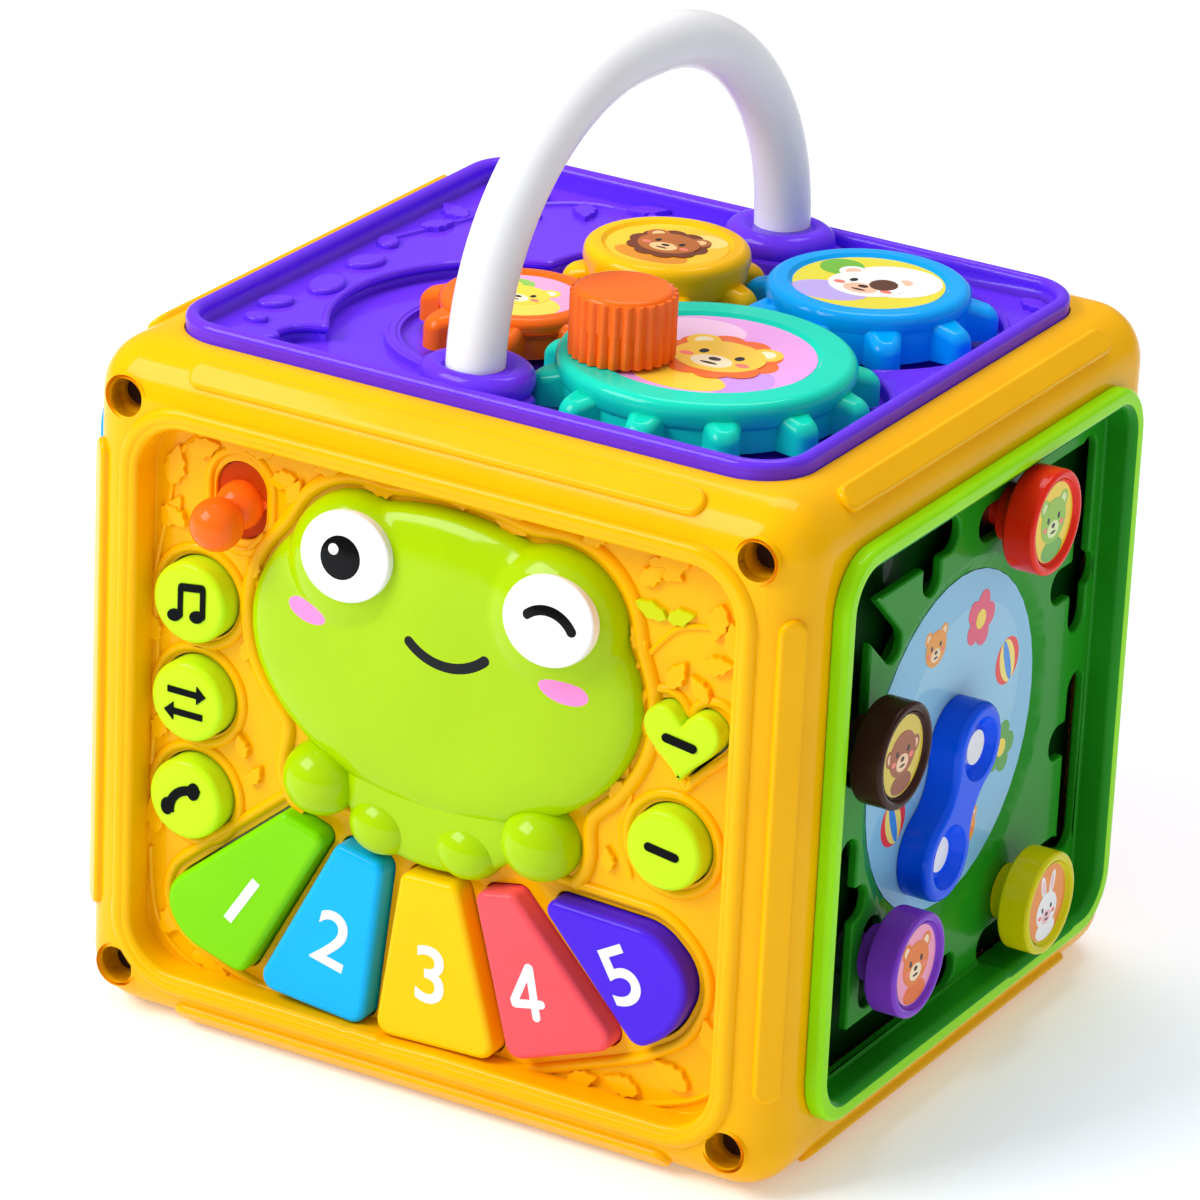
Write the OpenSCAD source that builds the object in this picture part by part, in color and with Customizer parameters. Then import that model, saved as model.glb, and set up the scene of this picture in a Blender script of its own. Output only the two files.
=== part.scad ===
// Activity cube: a toddler's play box with a toy on each face and a carrying handle.
// Millimetres, +Z up, front towards -Y, origin at the middle of the underside.

/* [Case] */
// Width across the front
case_w = 180; // [178:1:186]
// Depth from front to back
case_d = 166; // [165:1:172]
// Height of the box without tray and handle
case_h = 160; // [159:1:166]
// Radius of the level edges
case_edge_r = 12.5; // [11:0.5:13]
// Radius of the upright edges
case_corner_r = 15; // [13:0.5:16]
// Wall thickness
case_wall = 3; // [2.8:0.1:3.2]
// Radius of the raised ribs along the edges
rib_r = 4; // [3.5:0.25:4.5]
// How far a rib stands out of the rounded edge
rib_proud = 1.3; // [0.8:0.1:1.6]
// Length of the ribs
rib_l = 122; // [100:2:124]

/* [Front panel] */
// Width of the case beside the front panel
panel_side = 12; // [11.75:0.25:12.5]
// Height of the case under the front panel
panel_under = 10.5; // [10.25:0.25:11]
// Height of the case over the front panel
panel_over = 12.5; // [12.25:0.25:13]
// Corner radius of the front panel
panel_corner_r = 15; // [14:0.5:17]
// Width of its lip
panel_lip = 3.5; // [2.5:0.25:4]
// Depth of its floor behind the front of the case
panel_recess = 7; // [6.5:0.25:7.5]
// Height of the lip over the front of the case
panel_proud = 1; // [0.5:0.25:2]
// Thickness of the panel floors
panel_floor = 2.5; // [2.2:0.1:2.6]
// Gap round a panel in its opening
panel_gap = 0.3; // [0.2:0.05:0.4]

/* [Case screws] */
// Distance of the corner screws from the sides of the case
screw_in = 11.5; // [11:0.25:12]
// Distance of the corner screws from the top and the underside
screw_low_z = 11.8; // [11.5:0.1:12]
// Radius of the sunk holes over the screw heads
screw_well_r = 4.4; // [3.6:0.2:4.6]
// Radius of the screw bosses
screw_boss_r = 5.2; // [5:0.1:5.4]
// Radius of a case screw
screw_r = 1.5; // [1.2:0.1:1.6]

/* [Frog] */
// Half the width of the head
frog_half_w = 49; // [46:0.5:49.5]
// Half the height of the head
frog_half_h = 35; // [33:0.5:35.5]
// Height of the head over the panel floor
frog_dome = 9; // [7:0.5:11]
// Radius of the eye bumps at the panel floor
frog_eye_r = 18; // [17:0.5:18.5]
// Height of the eye bumps over the panel floor
frog_eye_h = 10.5; // [8.5:0.5:11.5]
// Radius of the white of an eye
eye_white_r = 10.9; // [9:0.25:11.5]
// Radius of a hand
frog_hand_r = 8.7; // [7.5:0.25:9]
// Radius of a foot
frog_foot_r = 6.5; // [5.5:0.25:7]

/* [Buttons and keys] */
// Radius of the three left buttons
button_r = 9.4; // [8.5:0.1:9.7]
// Radius of the lower right button
round_button_r = 9.2; // [8.5:0.1:9.6]
// Height of the buttons over the panel floor
button_proud = 5.5; // [4.5:0.25:7]
// Height of the keys over the panel floor
key_proud = 5.5; // [4.5:0.25:7]
// How far a button or key can be pressed
press_travel = 2; // [1.6:0.1:2]
// Gap round a button or key
key_gap = 0.35; // [0.25:0.05:0.4]
// Distance of the left buttons from the middle
button_x = 62; // [61.5:0.25:62.5]

/* [Toggle lever] */
// Radius of the knob at the end
lever_knob_r = 6; // [5:0.25:6.5]
// Radius of the ball in the slot
lever_ball_r = 5.5; // [5:0.25:5.75]
// Reach of the lever from its pin
lever_reach = 14.3; // [13:0.25:16]
// Droop of the lever at rest, in degrees
lever_droop = 10; // [8:1:11]

/* [Top tray] */
// Width of the case beside the tray
tray_side = 12.6; // [12.4:0.1:12.8]
// Corner radius of the tray
tray_corner_r = 13; // [11:0.5:14]
// Height of its lip over the case
tray_proud = 4; // [3.5:0.25:4.5]
// Depth of its floor under the top of the case
tray_depth = 5; // [4.8:0.1:5.2]
// Thickness of its wall
tray_wall = 3.2; // [2.8:0.1:3.2]
// Height of the moulded ledge over the tray floor
ledge_h = 4; // [2:0.25:4.5]

/* [Gears] */
// Tooth size: pitch diameter for each tooth
gear_module = 5.8; // [5.75:0.01:5.82]
// Height of a tooth over the pitch circle
tooth_add = 3; // [2.8:0.05:3.05]
// Depth of a gap under the pitch circle
tooth_ded = 3.6; // [3.6:0.05:3.8]
// Half the width of a tooth
tooth_half_w = 4.2; // [3.9:0.05:4.25]
// Height of the teeth
tooth_h = 7.5; // [6.5:0.25:8]
// Radius of an axle
axle_r = 3; // [2.8:0.1:3.2]
// Running clearance of a hub on its axle
run_gap = 0.05; // [0.03:0.01:0.08]
// Height of the teal gear over the tray floor
teal_h = 13.5; // [13:0.25:14.5]
// Height of the blue gear over the tray floor
blue_h = 13.5; // [13:0.25:15]
// Height of the yellow gear over the tray floor
yellow_h = 16; // [15:0.25:17]
// Height of the orange gear over the tray floor
orange_h = 11.5; // [11.5:0.25:13]
// Radius of the crank knob
crank_r = 11.2; // [10:0.2:11.4]
// Height of the crank knob
crank_h = 15; // [13:0.5:18]

/* [Handle] */
// Distance of the handle's feet from the edge of the tray
handle_in = 10.4; // [9.9:0.25:10.9]
// Radius of the bends of the handle's bow
handle_bow_r = 57; // [52:0.5:59]
// Turn of the handle away from straight front to back, in degrees
handle_turn = -4; // [-5:0.5:-2]
// Radius of the handle's tube
handle_tube_r = 6.5; // [6.2:0.1:6.8]
// Gap round a handle leg in its collar
handle_gap = 0.15; // [0.1:0.05:0.25]
// Radius of the collars
collar_r = 14.2; // [13:0.2:14.6]

/* [Side panels] */
// Width of the case round the right and left panels
side_margin = 13.4; // [13.2:0.1:13.6]
// Width of the case beside the back panel
back_side = 12; // [11:0.5:15]
// Corner radius of the side and back panels
side_corner_r = 13; // [12:0.5:15]
// Width of their rims
side_rim_w = 5.1; // [4.6:0.1:5.2]
// Height of their rims over the case
side_rim_h = 4; // [3:0.25:5]
// Overlap of a rim on the case
side_lap = 2.9; // [2.6:0.1:3]
// Depth of their floors under the face of the case
side_recess = 3.5; // [3.4:0.1:3.6]

/* [Maze] */
// Width of the maze tracks
track_w = 8; // [7.8:0.1:8.2]
// Radius of the four sliding knobs
slider_r = 12; // [11:0.25:12.25]
// Thickness of the four sliding knobs
slider_t = 7.7; // [6:0.25:9]
// Height of their heads over the maze floor
slider_lift = 4.5; // [4:0.25:6]
// Play of a slider's neck in its track
slider_gap = 0.3; // [0.2:0.05:0.4]
// Radius of the picture disc
picture_r = 38; // [37:0.25:38.5]
// Radius of the pointer's ends
pointer_r = 10.5; // [9.5:0.25:10.75]
// Distance between the pointer's ends
pointer_l = 24.8; // [22:0.2:25]
// Thickness of the pointer
pointer_t = 7.5; // [6:0.25:9]

/* [Underside] */
// Width of the case round the base opening
base_side = 20; // [19:0.5:21]
// Thickness of the base panel
base_t = 4; // [3.8:0.1:4.4]
// Thickness of the battery door
door_t = 2; // [1.8:0.1:2.2]
// Radius of a battery cell
cell_r = 7.25; // [7:0.05:7.3]
// Length of a battery cell
cell_l = 50.5; // [49:0.25:51]

/* [Hidden] */
$fn = 64;
corner_steps = 8;

case_yellow = [1, 0.78, 0.02];
frog_green = [0.72, 0.88, 0.06];
lime = [0.75, 0.95, 0.18];
tray_purple = [0.38, 0.18, 0.88];
leaf_green = [0.16, 0.55, 0.14];
steel = [0.7, 0.7, 0.72];

// Panels and openings, as the case leaves room for them
panel_w = case_w - 2 * panel_side;
panel_h = case_h - panel_under - panel_over;
panel_mid_z = (case_h + panel_under - panel_over) / 2;
screw_x = case_w / 2 - screw_in;
screw_high_z = case_h - screw_low_z;
tray_w = case_w - 2 * tray_side;
tray_d = case_d - 2 * tray_side;
handle_foot = tray_d / 2 - handle_in;
side_w = case_d - 2 * side_margin;
side_h = case_h - 2 * side_margin;
side_mid_z = case_h / 2;
back_w = case_w - 2 * back_side;
base_w = case_w - 2 * base_side;
base_d = case_d - 2 * base_side;

// Faces that the pieces are set from
front_y = -case_d / 2;
panel_rim_y = front_y - panel_proud;
floor_y = front_y + panel_recess;
floor_back_y = floor_y + panel_floor;
ear_front_y = floor_back_y + 2.5;
ear_t = 2.7;
well_y = ear_front_y - 4;
flange_gap = 0.3;
flange_t = 1.2;
flange_lap = 1.1;
flange_y = floor_back_y + flange_gap;
plunger_y = flange_y + flange_t + 1.7;
membrane_y = plunger_y + press_travel + 0.3;
membrane_t = 1;
board_y = membrane_y + membrane_t;
board_t = 1.6;

// The front toys, as places on the panel
button_zs = [103.3, 79.8, 56.2];
heart_at = [61.5, 101.5];
round_at = [58.9, 76.4];
lever_at = [-52.3, 128.2];
lever_slot = [13, 18];
lever_pin_y = floor_back_y + 2;
frog_at = [1.5, 104];
frog_eyes_at = [[-24, 122.3], [27.5, 121.8]];
eye_rise = 4;
frog_hands_at = [[-28.7, 69.7], [29.3, 69.7]];
frog_feet_at = [[-12.6, 62.7], [9.4, 62.7]];
frog_pegs_at = [[-34, 100], [36, 100], [1.5, 76]];
board_posts_at = [[-66, 17.5], [61, 20], [-43, 71], [45, 71], [-42, 110], [42, 110]];
board_box = [144, 100];
board_mid = [0, 64];

key_corners = [
    [[-36.5, 60], [-68.5, 33], [-62, 22.5], [-46, 17.5], [-25, 56.5]],
    [[-22.2, 56.5], [-42.7, 16.5], [-14.2, 13.8], [-10.2, 54]],
    [[-5.7, 54], [-11.2, 13.6], [20.3, 15], [8.8, 54.5]],
    [[12.8, 54.5], [23.3, 16.5], [50.8, 26.9], [22.8, 56.5]],
    [[27.8, 58], [54.8, 28.3], [62.8, 33.5], [68.8, 47.5], [57.8, 57]]
];
key_radii = [[2.5, 8, 12, 3, 2.5], [2.5, 3.5, 3.5, 2.5], [2.5, 3.5, 3.5, 2.5], [2.5, 3.5, 3.5, 2.5],
    [2.5, 3.5, 15, 11, 12]];
key_plunger_at = [[-47, 37], [-22, 33], [3, 33], [27, 36], [53, 45]];
key_colours = [[0.59, 0.9, 0], [0.12, 0.82, 1], [1, 0.87, 0], [1, 0.43, 0.43], [0.38, 0.19, 0.94]];

// The top toys
top_z = case_h;
tray_lip_z = top_z + tray_proud;
tray_z = top_z - tray_depth;
tray_floor_t = 3;
tray_low_z = tray_z - tray_floor_t;
tooth_z = tray_z + 2;
hub_z = tray_z + 0.2;
hub_r = axle_r + 3;
pin_head_r = axle_r + 2;
pin_head_t = 2;
sticker_sink = 0.8;
teeth_teal = 12;
teeth_orange = 7;
teeth_yellow = 7;
teeth_blue = 9;
function pitch_r(n) = gear_module * n / 2;
function tip_r(n) = pitch_r(n) + tooth_add;
function root_r(n) = pitch_r(n) - tooth_ded;
function spacing(n, m) = pitch_r(n) + pitch_r(m);
teal_in = [42.4, 41.6];
teal_at = [tray_w / 2 - teal_in[0], teal_in[1] - tray_d / 2];
blue_turn = 83.7;
blue_at = teal_at + spacing(teeth_teal, teeth_blue) * [cos(blue_turn), sin(blue_turn)];
teal_phase = 6;

// The four gears stand in a ring, so one gear's place is settled until all four meshes agree
function wrap(x) = x - floor(x + 0.5);
function bearing(a, b) = atan2(b[1] - a[1], b[0] - a[0]);
function mated(a, b, n, m, phase) =
    let (line = bearing(a, b))
    line + 180 - (0.5 - (line - phase) * n / 360) * 360 / m;
function miss(a, b, n, m, phase_a, phase_b) =
    let (line = bearing(a, b))
    wrap((line - phase_a) * n / 360 + (line + 180 - phase_b) * m / 360 - 0.5);
function far_corner(a, ra, b, rb, away) =
    let (
        gap = norm(b - a),
        along = (ra * ra - rb * rb + gap * gap) / (2 * gap),
        off = sqrt(ra * ra - along * along),
        dir = (b - a) / gap,
        side = [-dir[1], dir[0]],
        one = a + along * dir + off * side,
        two = a + along * dir - off * side
    )
    norm(one - away) > norm(two - away) ? one : two;
function orange_place(turn) = teal_at + spacing(teeth_teal, teeth_orange) * [cos(turn), sin(turn)];
function yellow_place(turn) = far_corner(
    orange_place(turn), spacing(teeth_orange, teeth_yellow),
    blue_at, spacing(teeth_blue, teeth_yellow), teal_at);
blue_phase = mated(teal_at, blue_at, teeth_teal, teeth_blue, teal_phase);
function ring_miss(turn) =
    let (
        o = orange_place(turn),
        y = yellow_place(turn),
        o_phase = mated(teal_at, o, teeth_teal, teeth_orange, teal_phase),
        y_phase = mated(o, y, teeth_orange, teeth_yellow, o_phase)
    )
    miss(blue_at, y, teeth_blue, teeth_yellow, blue_phase, y_phase);
function settle(turn, left) =
    left == 0 ? turn :
    let (slope = wrap(ring_miss(turn + 0.05) - ring_miss(turn - 0.05)) / 0.1)
    settle(turn - ring_miss(turn) / slope, left - 1);
orange_turn = settle(168, 8);
orange_at = orange_place(orange_turn);
yellow_at = yellow_place(orange_turn);
orange_phase = mated(teal_at, orange_at, teeth_teal, teeth_orange, teal_phase);
yellow_phase = mated(orange_at, yellow_at, teeth_orange, teeth_yellow, orange_phase);
axle_places = [teal_at, orange_at, yellow_at, blue_at];
axle_tops = [teal_h, orange_h, yellow_h, blue_h];

crank_off = [-14.3, -12.1];
crank_at = teal_at + crank_off;
crank_z = tray_z + teal_h + 0.2;
crank_pin_r = 2.5;
crank_flutes = 24;
leg_z = tray_z - 5;
bow_z = tray_z + 10;
collar_z = tray_z + 11;
tray_screw_x = case_w / 2 - 8.4;
tray_screw_y = 35;
tray_ear_z = top_z - 12.8;
tray_boss_z = tray_ear_z + 3;

// The side toys
side_x = case_w / 2;
maze_x = side_x - side_recess;
maze_back_x = maze_x - panel_floor;
side_skirt = side_recess + panel_floor;
picture_t = 1.5;
picture_x = maze_x - 1.5;
pocket_back_x = picture_x - picture_t;
pointer_x = picture_x + 0.3;
pointer_pin_r = 2.5;
pointer_aim = 29;
slider_names = ["red", "brown", "purple", "yellow"];
slider_at = [[17.6, 129], [-48, 97], [-35, 42.7], [29, 33]];
slider_neck_r = track_w / 2 - slider_gap;
slider_step_r = 6.5;
slider_pin_r = 2.4;
retainer_r = 6.5;
retainer_t = 2.6;
tracks = [
    [[8.5, 129], [54, 129]],
    [[57, 130], [57, 91]],
    [[47, 101], [60, 101]],
    [[-48, 128], [-48, 91]],
    [[-48, 132], [-9, 132]],
    [[-17, 124.5], [-17, 133.5]],
    [[-45, 125], [-33.5, 114.5]],
    [[-48, 70], [-48, 24]],
    [[-48, 57], [-42.5, 57]],
    [[-35, 47], [-35, 33.5]],
    [[-48, 23], [3, 23]],
    [[29, 33], [53, 33]],
    [[22, 22], [50, 22]],
    [[59.5, 72], [59.5, 36]],
    [[52, 61], [59.5, 61]]
];

// The underside
base_top_z = base_t;
base_screw_in = 8;
base_screw_at = [base_w / 2 - base_screw_in, base_d / 2 - base_screw_in];
base_screw_head_r = 3;
base_screw_sink = 2;
box_mid = [-34, 0];
box_in = [3 * 2 * cell_r + 4, cell_l + 4];
box_wall = 1.6;
box_h = 2 * cell_r + 3;
speaker_at = [38, 8];
speaker_r = 20;
switch_at = [38, -40];
switch_slot = [13, 5];
switch_travel = 5;

// A point list with each corner rounded, grown outward by a margin
function edge_out(a, b) = let (d = (b - a) / norm(b - a)) [d[1], -d[0]];
function rounded(p, r, grow = 0) = [
    for (i = [0 : len(p) - 1])
        let (
            n0 = edge_out(p[(i + len(p) - 1) % len(p)], p[i]),
            n1 = edge_out(p[i], p[(i + 1) % len(p)]),
            turn = acos(n0 * n1),
            mid = p[i] - r[i] * (n0 + n1) / (1 + n0 * n1),
            start = atan2(n0[1], n0[0])
        )
        for (k = [0 : corner_steps])
            let (a = start + turn * k / corner_steps)
            mid + (r[i] + grow) * [cos(a), sin(a)]
];

module rounded_box(w, h, r) {
    square([w - 2 * r, h], center = true);
    square([w, h - 2 * r], center = true);
    for (x = [-1, 1], y = [-1, 1])
        translate([x * (w / 2 - r), y * (h / 2 - r)])
            circle(r);
}

module block(w, d, h, r, corner_r) {
    intersection() {
        linear_extrude(h) rounded_box(w, d, corner_r);
        translate([0, d / 2, h / 2]) rotate([90, 0, 0]) linear_extrude(d) rounded_box(w, h, r);
        translate([-w / 2, 0, h / 2]) rotate([90, 0, 90]) linear_extrude(w) rounded_box(d, h, r);
    }
}

// Places a flat drawing on a face, with its thickness growing outward
module on_front(y) { translate([0, y, 0]) rotate([90, 0, 0]) children(); }
module on_back(y) { translate([0, y, 0]) rotate([90, 0, 180]) children(); }
module on_right(x) { translate([x, 0, 0]) rotate([90, 0, 90]) children(); }
module on_left(x) { translate([x, 0, 0]) rotate([90, 0, -90]) children(); }

// Points on an arc about a middle point, from one bearing to another
function arc(mid, r, from, to) = [
    for (k = [0 : 2 * corner_steps])
        let (a = from + (to - from) * k / (2 * corner_steps))
        mid + r * [cos(a), sin(a)]
];

// A round-ended bar between two points, with its own width at each end
function bar_outline(a, b, wa, wb) =
    let (
        lie = atan2(b[1] - a[1], b[0] - a[0]),
        spread = acos((wa - wb) / 2 / norm(b - a))
    )
    concat(
        arc(b, wb / 2, lie - spread, lie + spread),
        arc(a, wa / 2, lie + spread, lie + 360 - spread)
    );

module bar(a, b, w) { polygon(bar_outline(a, b, w, w)); }

module rib(l) {
    cylinder(r = rib_r, h = l - 2 * rib_r, center = true);
    for (s = [-1, 1])
        translate([0, 0, s * (l / 2 - rib_r)]) sphere(rib_r);
}

module case_ribs() {
    out = (case_edge_r + rib_proud - rib_r) / sqrt(2) - case_edge_r;
    corner_out = (case_corner_r + rib_proud - rib_r) / sqrt(2) - case_corner_r;
    x = case_w / 2 + out;
    y = case_d / 2 + out;
    z = case_h / 2 + out;
    translate([0, 0, case_h / 2]) {
        for (a = [-1, 1], b = [-1, 1]) {
            translate([a * (case_w / 2 + corner_out), b * (case_d / 2 + corner_out), 0]) rib(rib_l - 10);
            translate([0, a * y, b * z]) rotate([0, 90, 0]) rib(rib_l + 6);
            translate([a * x, 0, b * z]) rotate([90, 0, 0]) rib(rib_l);
        }
    }
}

module at_front_screws() {
    for (x = [-screw_x, screw_x], z = [screw_low_z, screw_high_z])
        translate([x, z, 0]) children();
}

module at_tray_screws() {
    for (x = [-tray_screw_x, tray_screw_x], y = [-tray_screw_y, tray_screw_y])
        translate([x, y, 0]) children();
}

module at_base_screws() {
    for (x = [-1, 1], y = [-1, 1])
        translate([x * base_screw_at[0], y * base_screw_at[1], 0]) children();
}

module at_feet() {
    for (side = [-1, 1])
        rotate(handle_turn) translate([0, side * handle_foot, 0]) children();
}

module case_shell() {
    color(case_yellow)
    difference() {
        union() {
            difference() {
                union() {
                    block(case_w, case_d, case_h, case_edge_r, case_corner_r);
                    case_ribs();
                }
                translate([0, 0, case_wall])
                    block(case_w - 2 * case_wall, case_d - 2 * case_wall, case_h - 2 * case_wall,
                        case_edge_r - case_wall, case_corner_r - case_wall);
                on_front(0) translate([0, panel_mid_z, 0]) linear_extrude(case_d)
                    rounded_box(panel_w + 2 * panel_gap, panel_h + 2 * panel_gap, panel_corner_r + panel_gap);
                on_right(0) side_opening(side_w);
                on_left(0) side_opening(side_w);
                on_back(0) side_opening(back_w);
                translate([0, 0, case_h / 2]) linear_extrude(case_h)
                    rounded_box(tray_w + 2 * panel_gap, tray_d + 2 * panel_gap, tray_corner_r + panel_gap);
                translate([0, 0, -1]) linear_extrude(case_h / 2) rounded_box(base_w, base_d, 10);
            }
            intersection() {
                block(case_w, case_d, case_h, case_edge_r, case_corner_r);
                union() {
                    on_front(ear_front_y) at_front_screws()
                        cylinder(r = screw_boss_r, h = ear_front_y - front_y - case_wall / 2);
                    translate([0, 0, tray_boss_z]) at_tray_screws()
                        cylinder(r = 3.6, h = top_z - tray_boss_z - case_wall / 2);
                }
            }
            difference() {
                for (x = [-1, 1], y = [-1, 1])
                    translate([x * (base_w / 2 - 4) - 9, y * (base_d / 2 - 4) - 9, case_wall - 0.5]) cube([18, 18, 6]);
                translate([0, 0, -1]) linear_extrude(base_top_z + 1) rounded_box(base_w, base_d, 10);
            }
        }
        on_front(well_y) at_front_screws() cylinder(r = screw_well_r, h = case_d);
        on_front(floor_back_y + 8) at_front_screws() cylinder(r = screw_r + 0.2, h = 12);
        translate([0, 0, tray_boss_z - 1]) at_tray_screws() cylinder(r = 1.2, h = 6.2);
        at_base_screws() cylinder(r = 1.2, h = 8.2);
    }
}

module side_opening(w) {
    translate([0, side_mid_z, 0]) linear_extrude(case_w)
        rounded_box(w - 2 * side_lap + 2 * panel_gap, side_h - 2 * side_lap + 2 * panel_gap,
            side_corner_r - side_lap + panel_gap);
}

module button_hole(r) { cylinder(r = r + key_gap, h = 40, center = true); }

module front_panel() {
    color(case_yellow)
    difference() {
        union() {
            on_front(floor_back_y) translate([0, panel_mid_z, 0])
                linear_extrude(floor_back_y - panel_rim_y) rounded_box(panel_w, panel_h, panel_corner_r);
            on_front(ear_front_y + ear_t) {
                for (x = [-1, 1], up = [-1, 1]) {
                    root = [x * (panel_w / 2 - 9), panel_mid_z + up * (panel_h / 2 - 9)];
                    tip = [x * screw_x, up < 0 ? screw_low_z : screw_high_z];
                    linear_extrude(ear_t)
                        polygon(bar_outline(root, tip, 8.6, 2 * screw_boss_r - 0.4));
                    translate([root[0], root[1], 1])
                        cylinder(r = 3.6, h = ear_front_y + ear_t - floor_y - 2.4);
                }
            }
            on_front(board_y) for (p = board_posts_at)
                translate([p[0], p[1], 0]) cylinder(r = 3, h = board_y - floor_y - 1);
            on_front(floor_back_y + 5) for (s = [-1, 1])
                translate([lever_at[0] + s * 8.1 - 1.5, lever_at[1] - 4, 0]) cube([3, 8, 6]);
        }
        on_front(floor_y) translate([0, panel_mid_z, 0]) linear_extrude(40)
            rounded_box(panel_w - 2 * panel_lip, panel_h - 2 * panel_lip, panel_corner_r - panel_lip);
        on_front(0) {
            at_front_screws() cylinder(r = screw_r, h = case_d);
            for (z = button_zs)
                translate([-button_x, z, -floor_y]) button_hole(button_r);
            translate([round_at[0], round_at[1], -floor_y]) button_hole(round_button_r);
            translate([heart_at[0], heart_at[1], -floor_y - 20]) linear_extrude(40) heart(key_gap);
            for (i = [0 : 4])
                translate([0, 0, -floor_y - 20]) linear_extrude(40)
                    polygon(rounded(key_corners[i], key_radii[i], key_gap));
            translate([lever_at[0], lever_at[1], -floor_y - 4]) linear_extrude(20)
                bar([0, -(lever_slot[1] - lever_slot[0]) / 2], [0, (lever_slot[1] - lever_slot[0]) / 2], lever_slot[0]);
            translate([frog_at[0], frog_at[1], -floor_y]) cylinder(r = 16, h = 20, center = true);
            for (p = frog_pegs_at)
                translate([p[0], p[1], -floor_y]) cylinder(r = 2.5, h = 20, center = true);
            for (p = board_posts_at)
                translate([p[0], p[1], -board_y - 1]) cylinder(r = 1.1, h = 6);
        }
        translate([lever_at[0], lever_pin_y, lever_at[1]]) rotate([0, 90, 0])
            cylinder(r = 1.5, h = 30, center = true);
    }
}

module front_screws() {
    color(steel)
    on_front(well_y) at_front_screws() {
        cylinder(r = 3, h = 2.4);
        translate([0, 0, -7]) cylinder(r = screw_r, h = 7.5);
    }
}

module frog_slice(share, z) {
    k = 0.5 + 0.5 * sqrt(1 - share * share);
    translate([frog_at[0], frog_at[1], z])
        linear_extrude(0.05) scale([frog_half_w * k, frog_half_h * k]) circle(1, $fn = 56);
}

module frog_cover() {
    eye_ball_r = (frog_eye_r * frog_eye_r + frog_eye_h * frog_eye_h) / (2 * frog_eye_h);
    color(frog_green)
    difference() {
        on_front(floor_y) {
            hull()
                for (share = [0, 0.35, 0.6, 0.8, 0.93, 1])
                    frog_slice(share, share * (frog_dome - 0.05));
            intersection() {
                union() {
                    for (p = frog_eyes_at)
                        translate([p[0], p[1], frog_eye_h - eye_ball_r]) sphere(eye_ball_r);
                    for (p = frog_hands_at)
                        translate([p[0], p[1], 0]) sphere(frog_hand_r);
                    for (p = frog_feet_at)
                        translate([p[0], p[1], 0.5]) sphere(frog_foot_r);
                    linear_extrude(5) polygon(rounded(
                        [[-24, 74], [-16, 57.5], [14, 57.5], [25, 74]], [2, 4, 4, 2]));
                }
                translate([-80, 40, 0]) cube([160, 110, 20]);
            }
            translate([0, 0, floor_y - floor_back_y - 1.5]) for (p = frog_pegs_at)
                translate([p[0], p[1], 0]) cylinder(r = 2.45, h = 6);
        }
        on_front(floor_y) translate([frog_at[0], frog_at[1], -1]) cylinder(r = 16, h = 6);
        on_front(floor_y) for (p = frog_eyes_at)
            difference() {
                translate([p[0], p[1] + eye_rise, 2]) cylinder(r = eye_white_r + 0.15, h = 20);
                translate([p[0], p[1], frog_eye_h - eye_ball_r]) sphere(eye_ball_r);
            }
    }
}

module frog_eyes() {
    eye_ball_r = (frog_eye_r * frog_eye_r + frog_eye_h * frog_eye_h) / (2 * frog_eye_h);
    color("white")
    on_front(floor_y) for (p = frog_eyes_at)
        intersection() {
            difference() {
                translate([p[0], p[1], frog_eye_h - eye_ball_r]) sphere(eye_ball_r + 0.8);
                translate([p[0], p[1], frog_eye_h - eye_ball_r]) sphere(eye_ball_r);
            }
            translate([p[0], p[1] + eye_rise, 2]) cylinder(r = eye_white_r, h = 20);
        }
}

module toggle_lever() {
    color([1, 0.42, 0.14])
    translate([lever_at[0], lever_pin_y, lever_at[1]])
        difference() {
            rotate([lever_droop, 0, 0]) {
                rotate([0, 90, 0]) cylinder(r = 3.8, h = 12.4, center = true);
                rotate([90, 0, 0]) cylinder(r = 3.2, h = lever_reach);
                translate([0, -4.8, 0]) sphere(lever_ball_r);
                translate([0, -lever_reach, 0]) sphere(lever_knob_r);
            }
            rotate([0, 90, 0]) cylinder(r = 1.5 + run_gap, h = 40, center = true);
        }
}

module lever_pin() {
    color(steel)
    translate([lever_at[0], lever_pin_y, lever_at[1]]) rotate([0, 90, 0])
        cylinder(r = 1.5, h = 19.2, center = true);
}

// A pressed piece: its face stands over the panel, its flange holds it in from behind
module press_round(at, r, proud) {
    translate([at[0], 0, at[1]]) {
        on_front(flange_y + flange_t) {
            cylinder(r = r + flange_lap + key_gap, h = flange_t);
            translate([0, 0, flange_y + flange_t - plunger_y]) cylinder(r = 3, h = plunger_y - flange_y);
            rotate_extrude() difference() {
                square([r, flange_y + flange_t - floor_y + proud]);
                translate([r - 1.6, flange_y + flange_t - floor_y + proud - 1.6]) difference() {
                    square(3);
                    circle(1.6);
                }
            }
        }
    }
}

module button_upper() { color(lime) press_round([-button_x, button_zs[0]], button_r, button_proud); }
module button_middle() { color(lime) press_round([-button_x, button_zs[1]], button_r, button_proud); }
module button_lower() { color(lime) press_round([-button_x, button_zs[2]], button_r, button_proud); }
module round_button() { color(lime) press_round(round_at, round_button_r, button_proud - 0.5); }

module heart(grow) {
    lobe = [4.4, 2.8];
    r = 4.9 + grow;
    tip = [0, -8.6 - 1.4 * grow];
    far = norm(lobe - tip);
    lean = atan2(lobe[1] - tip[1], lobe[0] - tip[0]) - asin(r / far);
    side = arc(lobe, r, lean - 90, 180 - acos(lobe[0] / r));
    last = len(side) - 1;
    polygon(concat([tip], side, [for (k = [1 : last]) [-side[last - k][0], side[last - k][1]]]));
}

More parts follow.
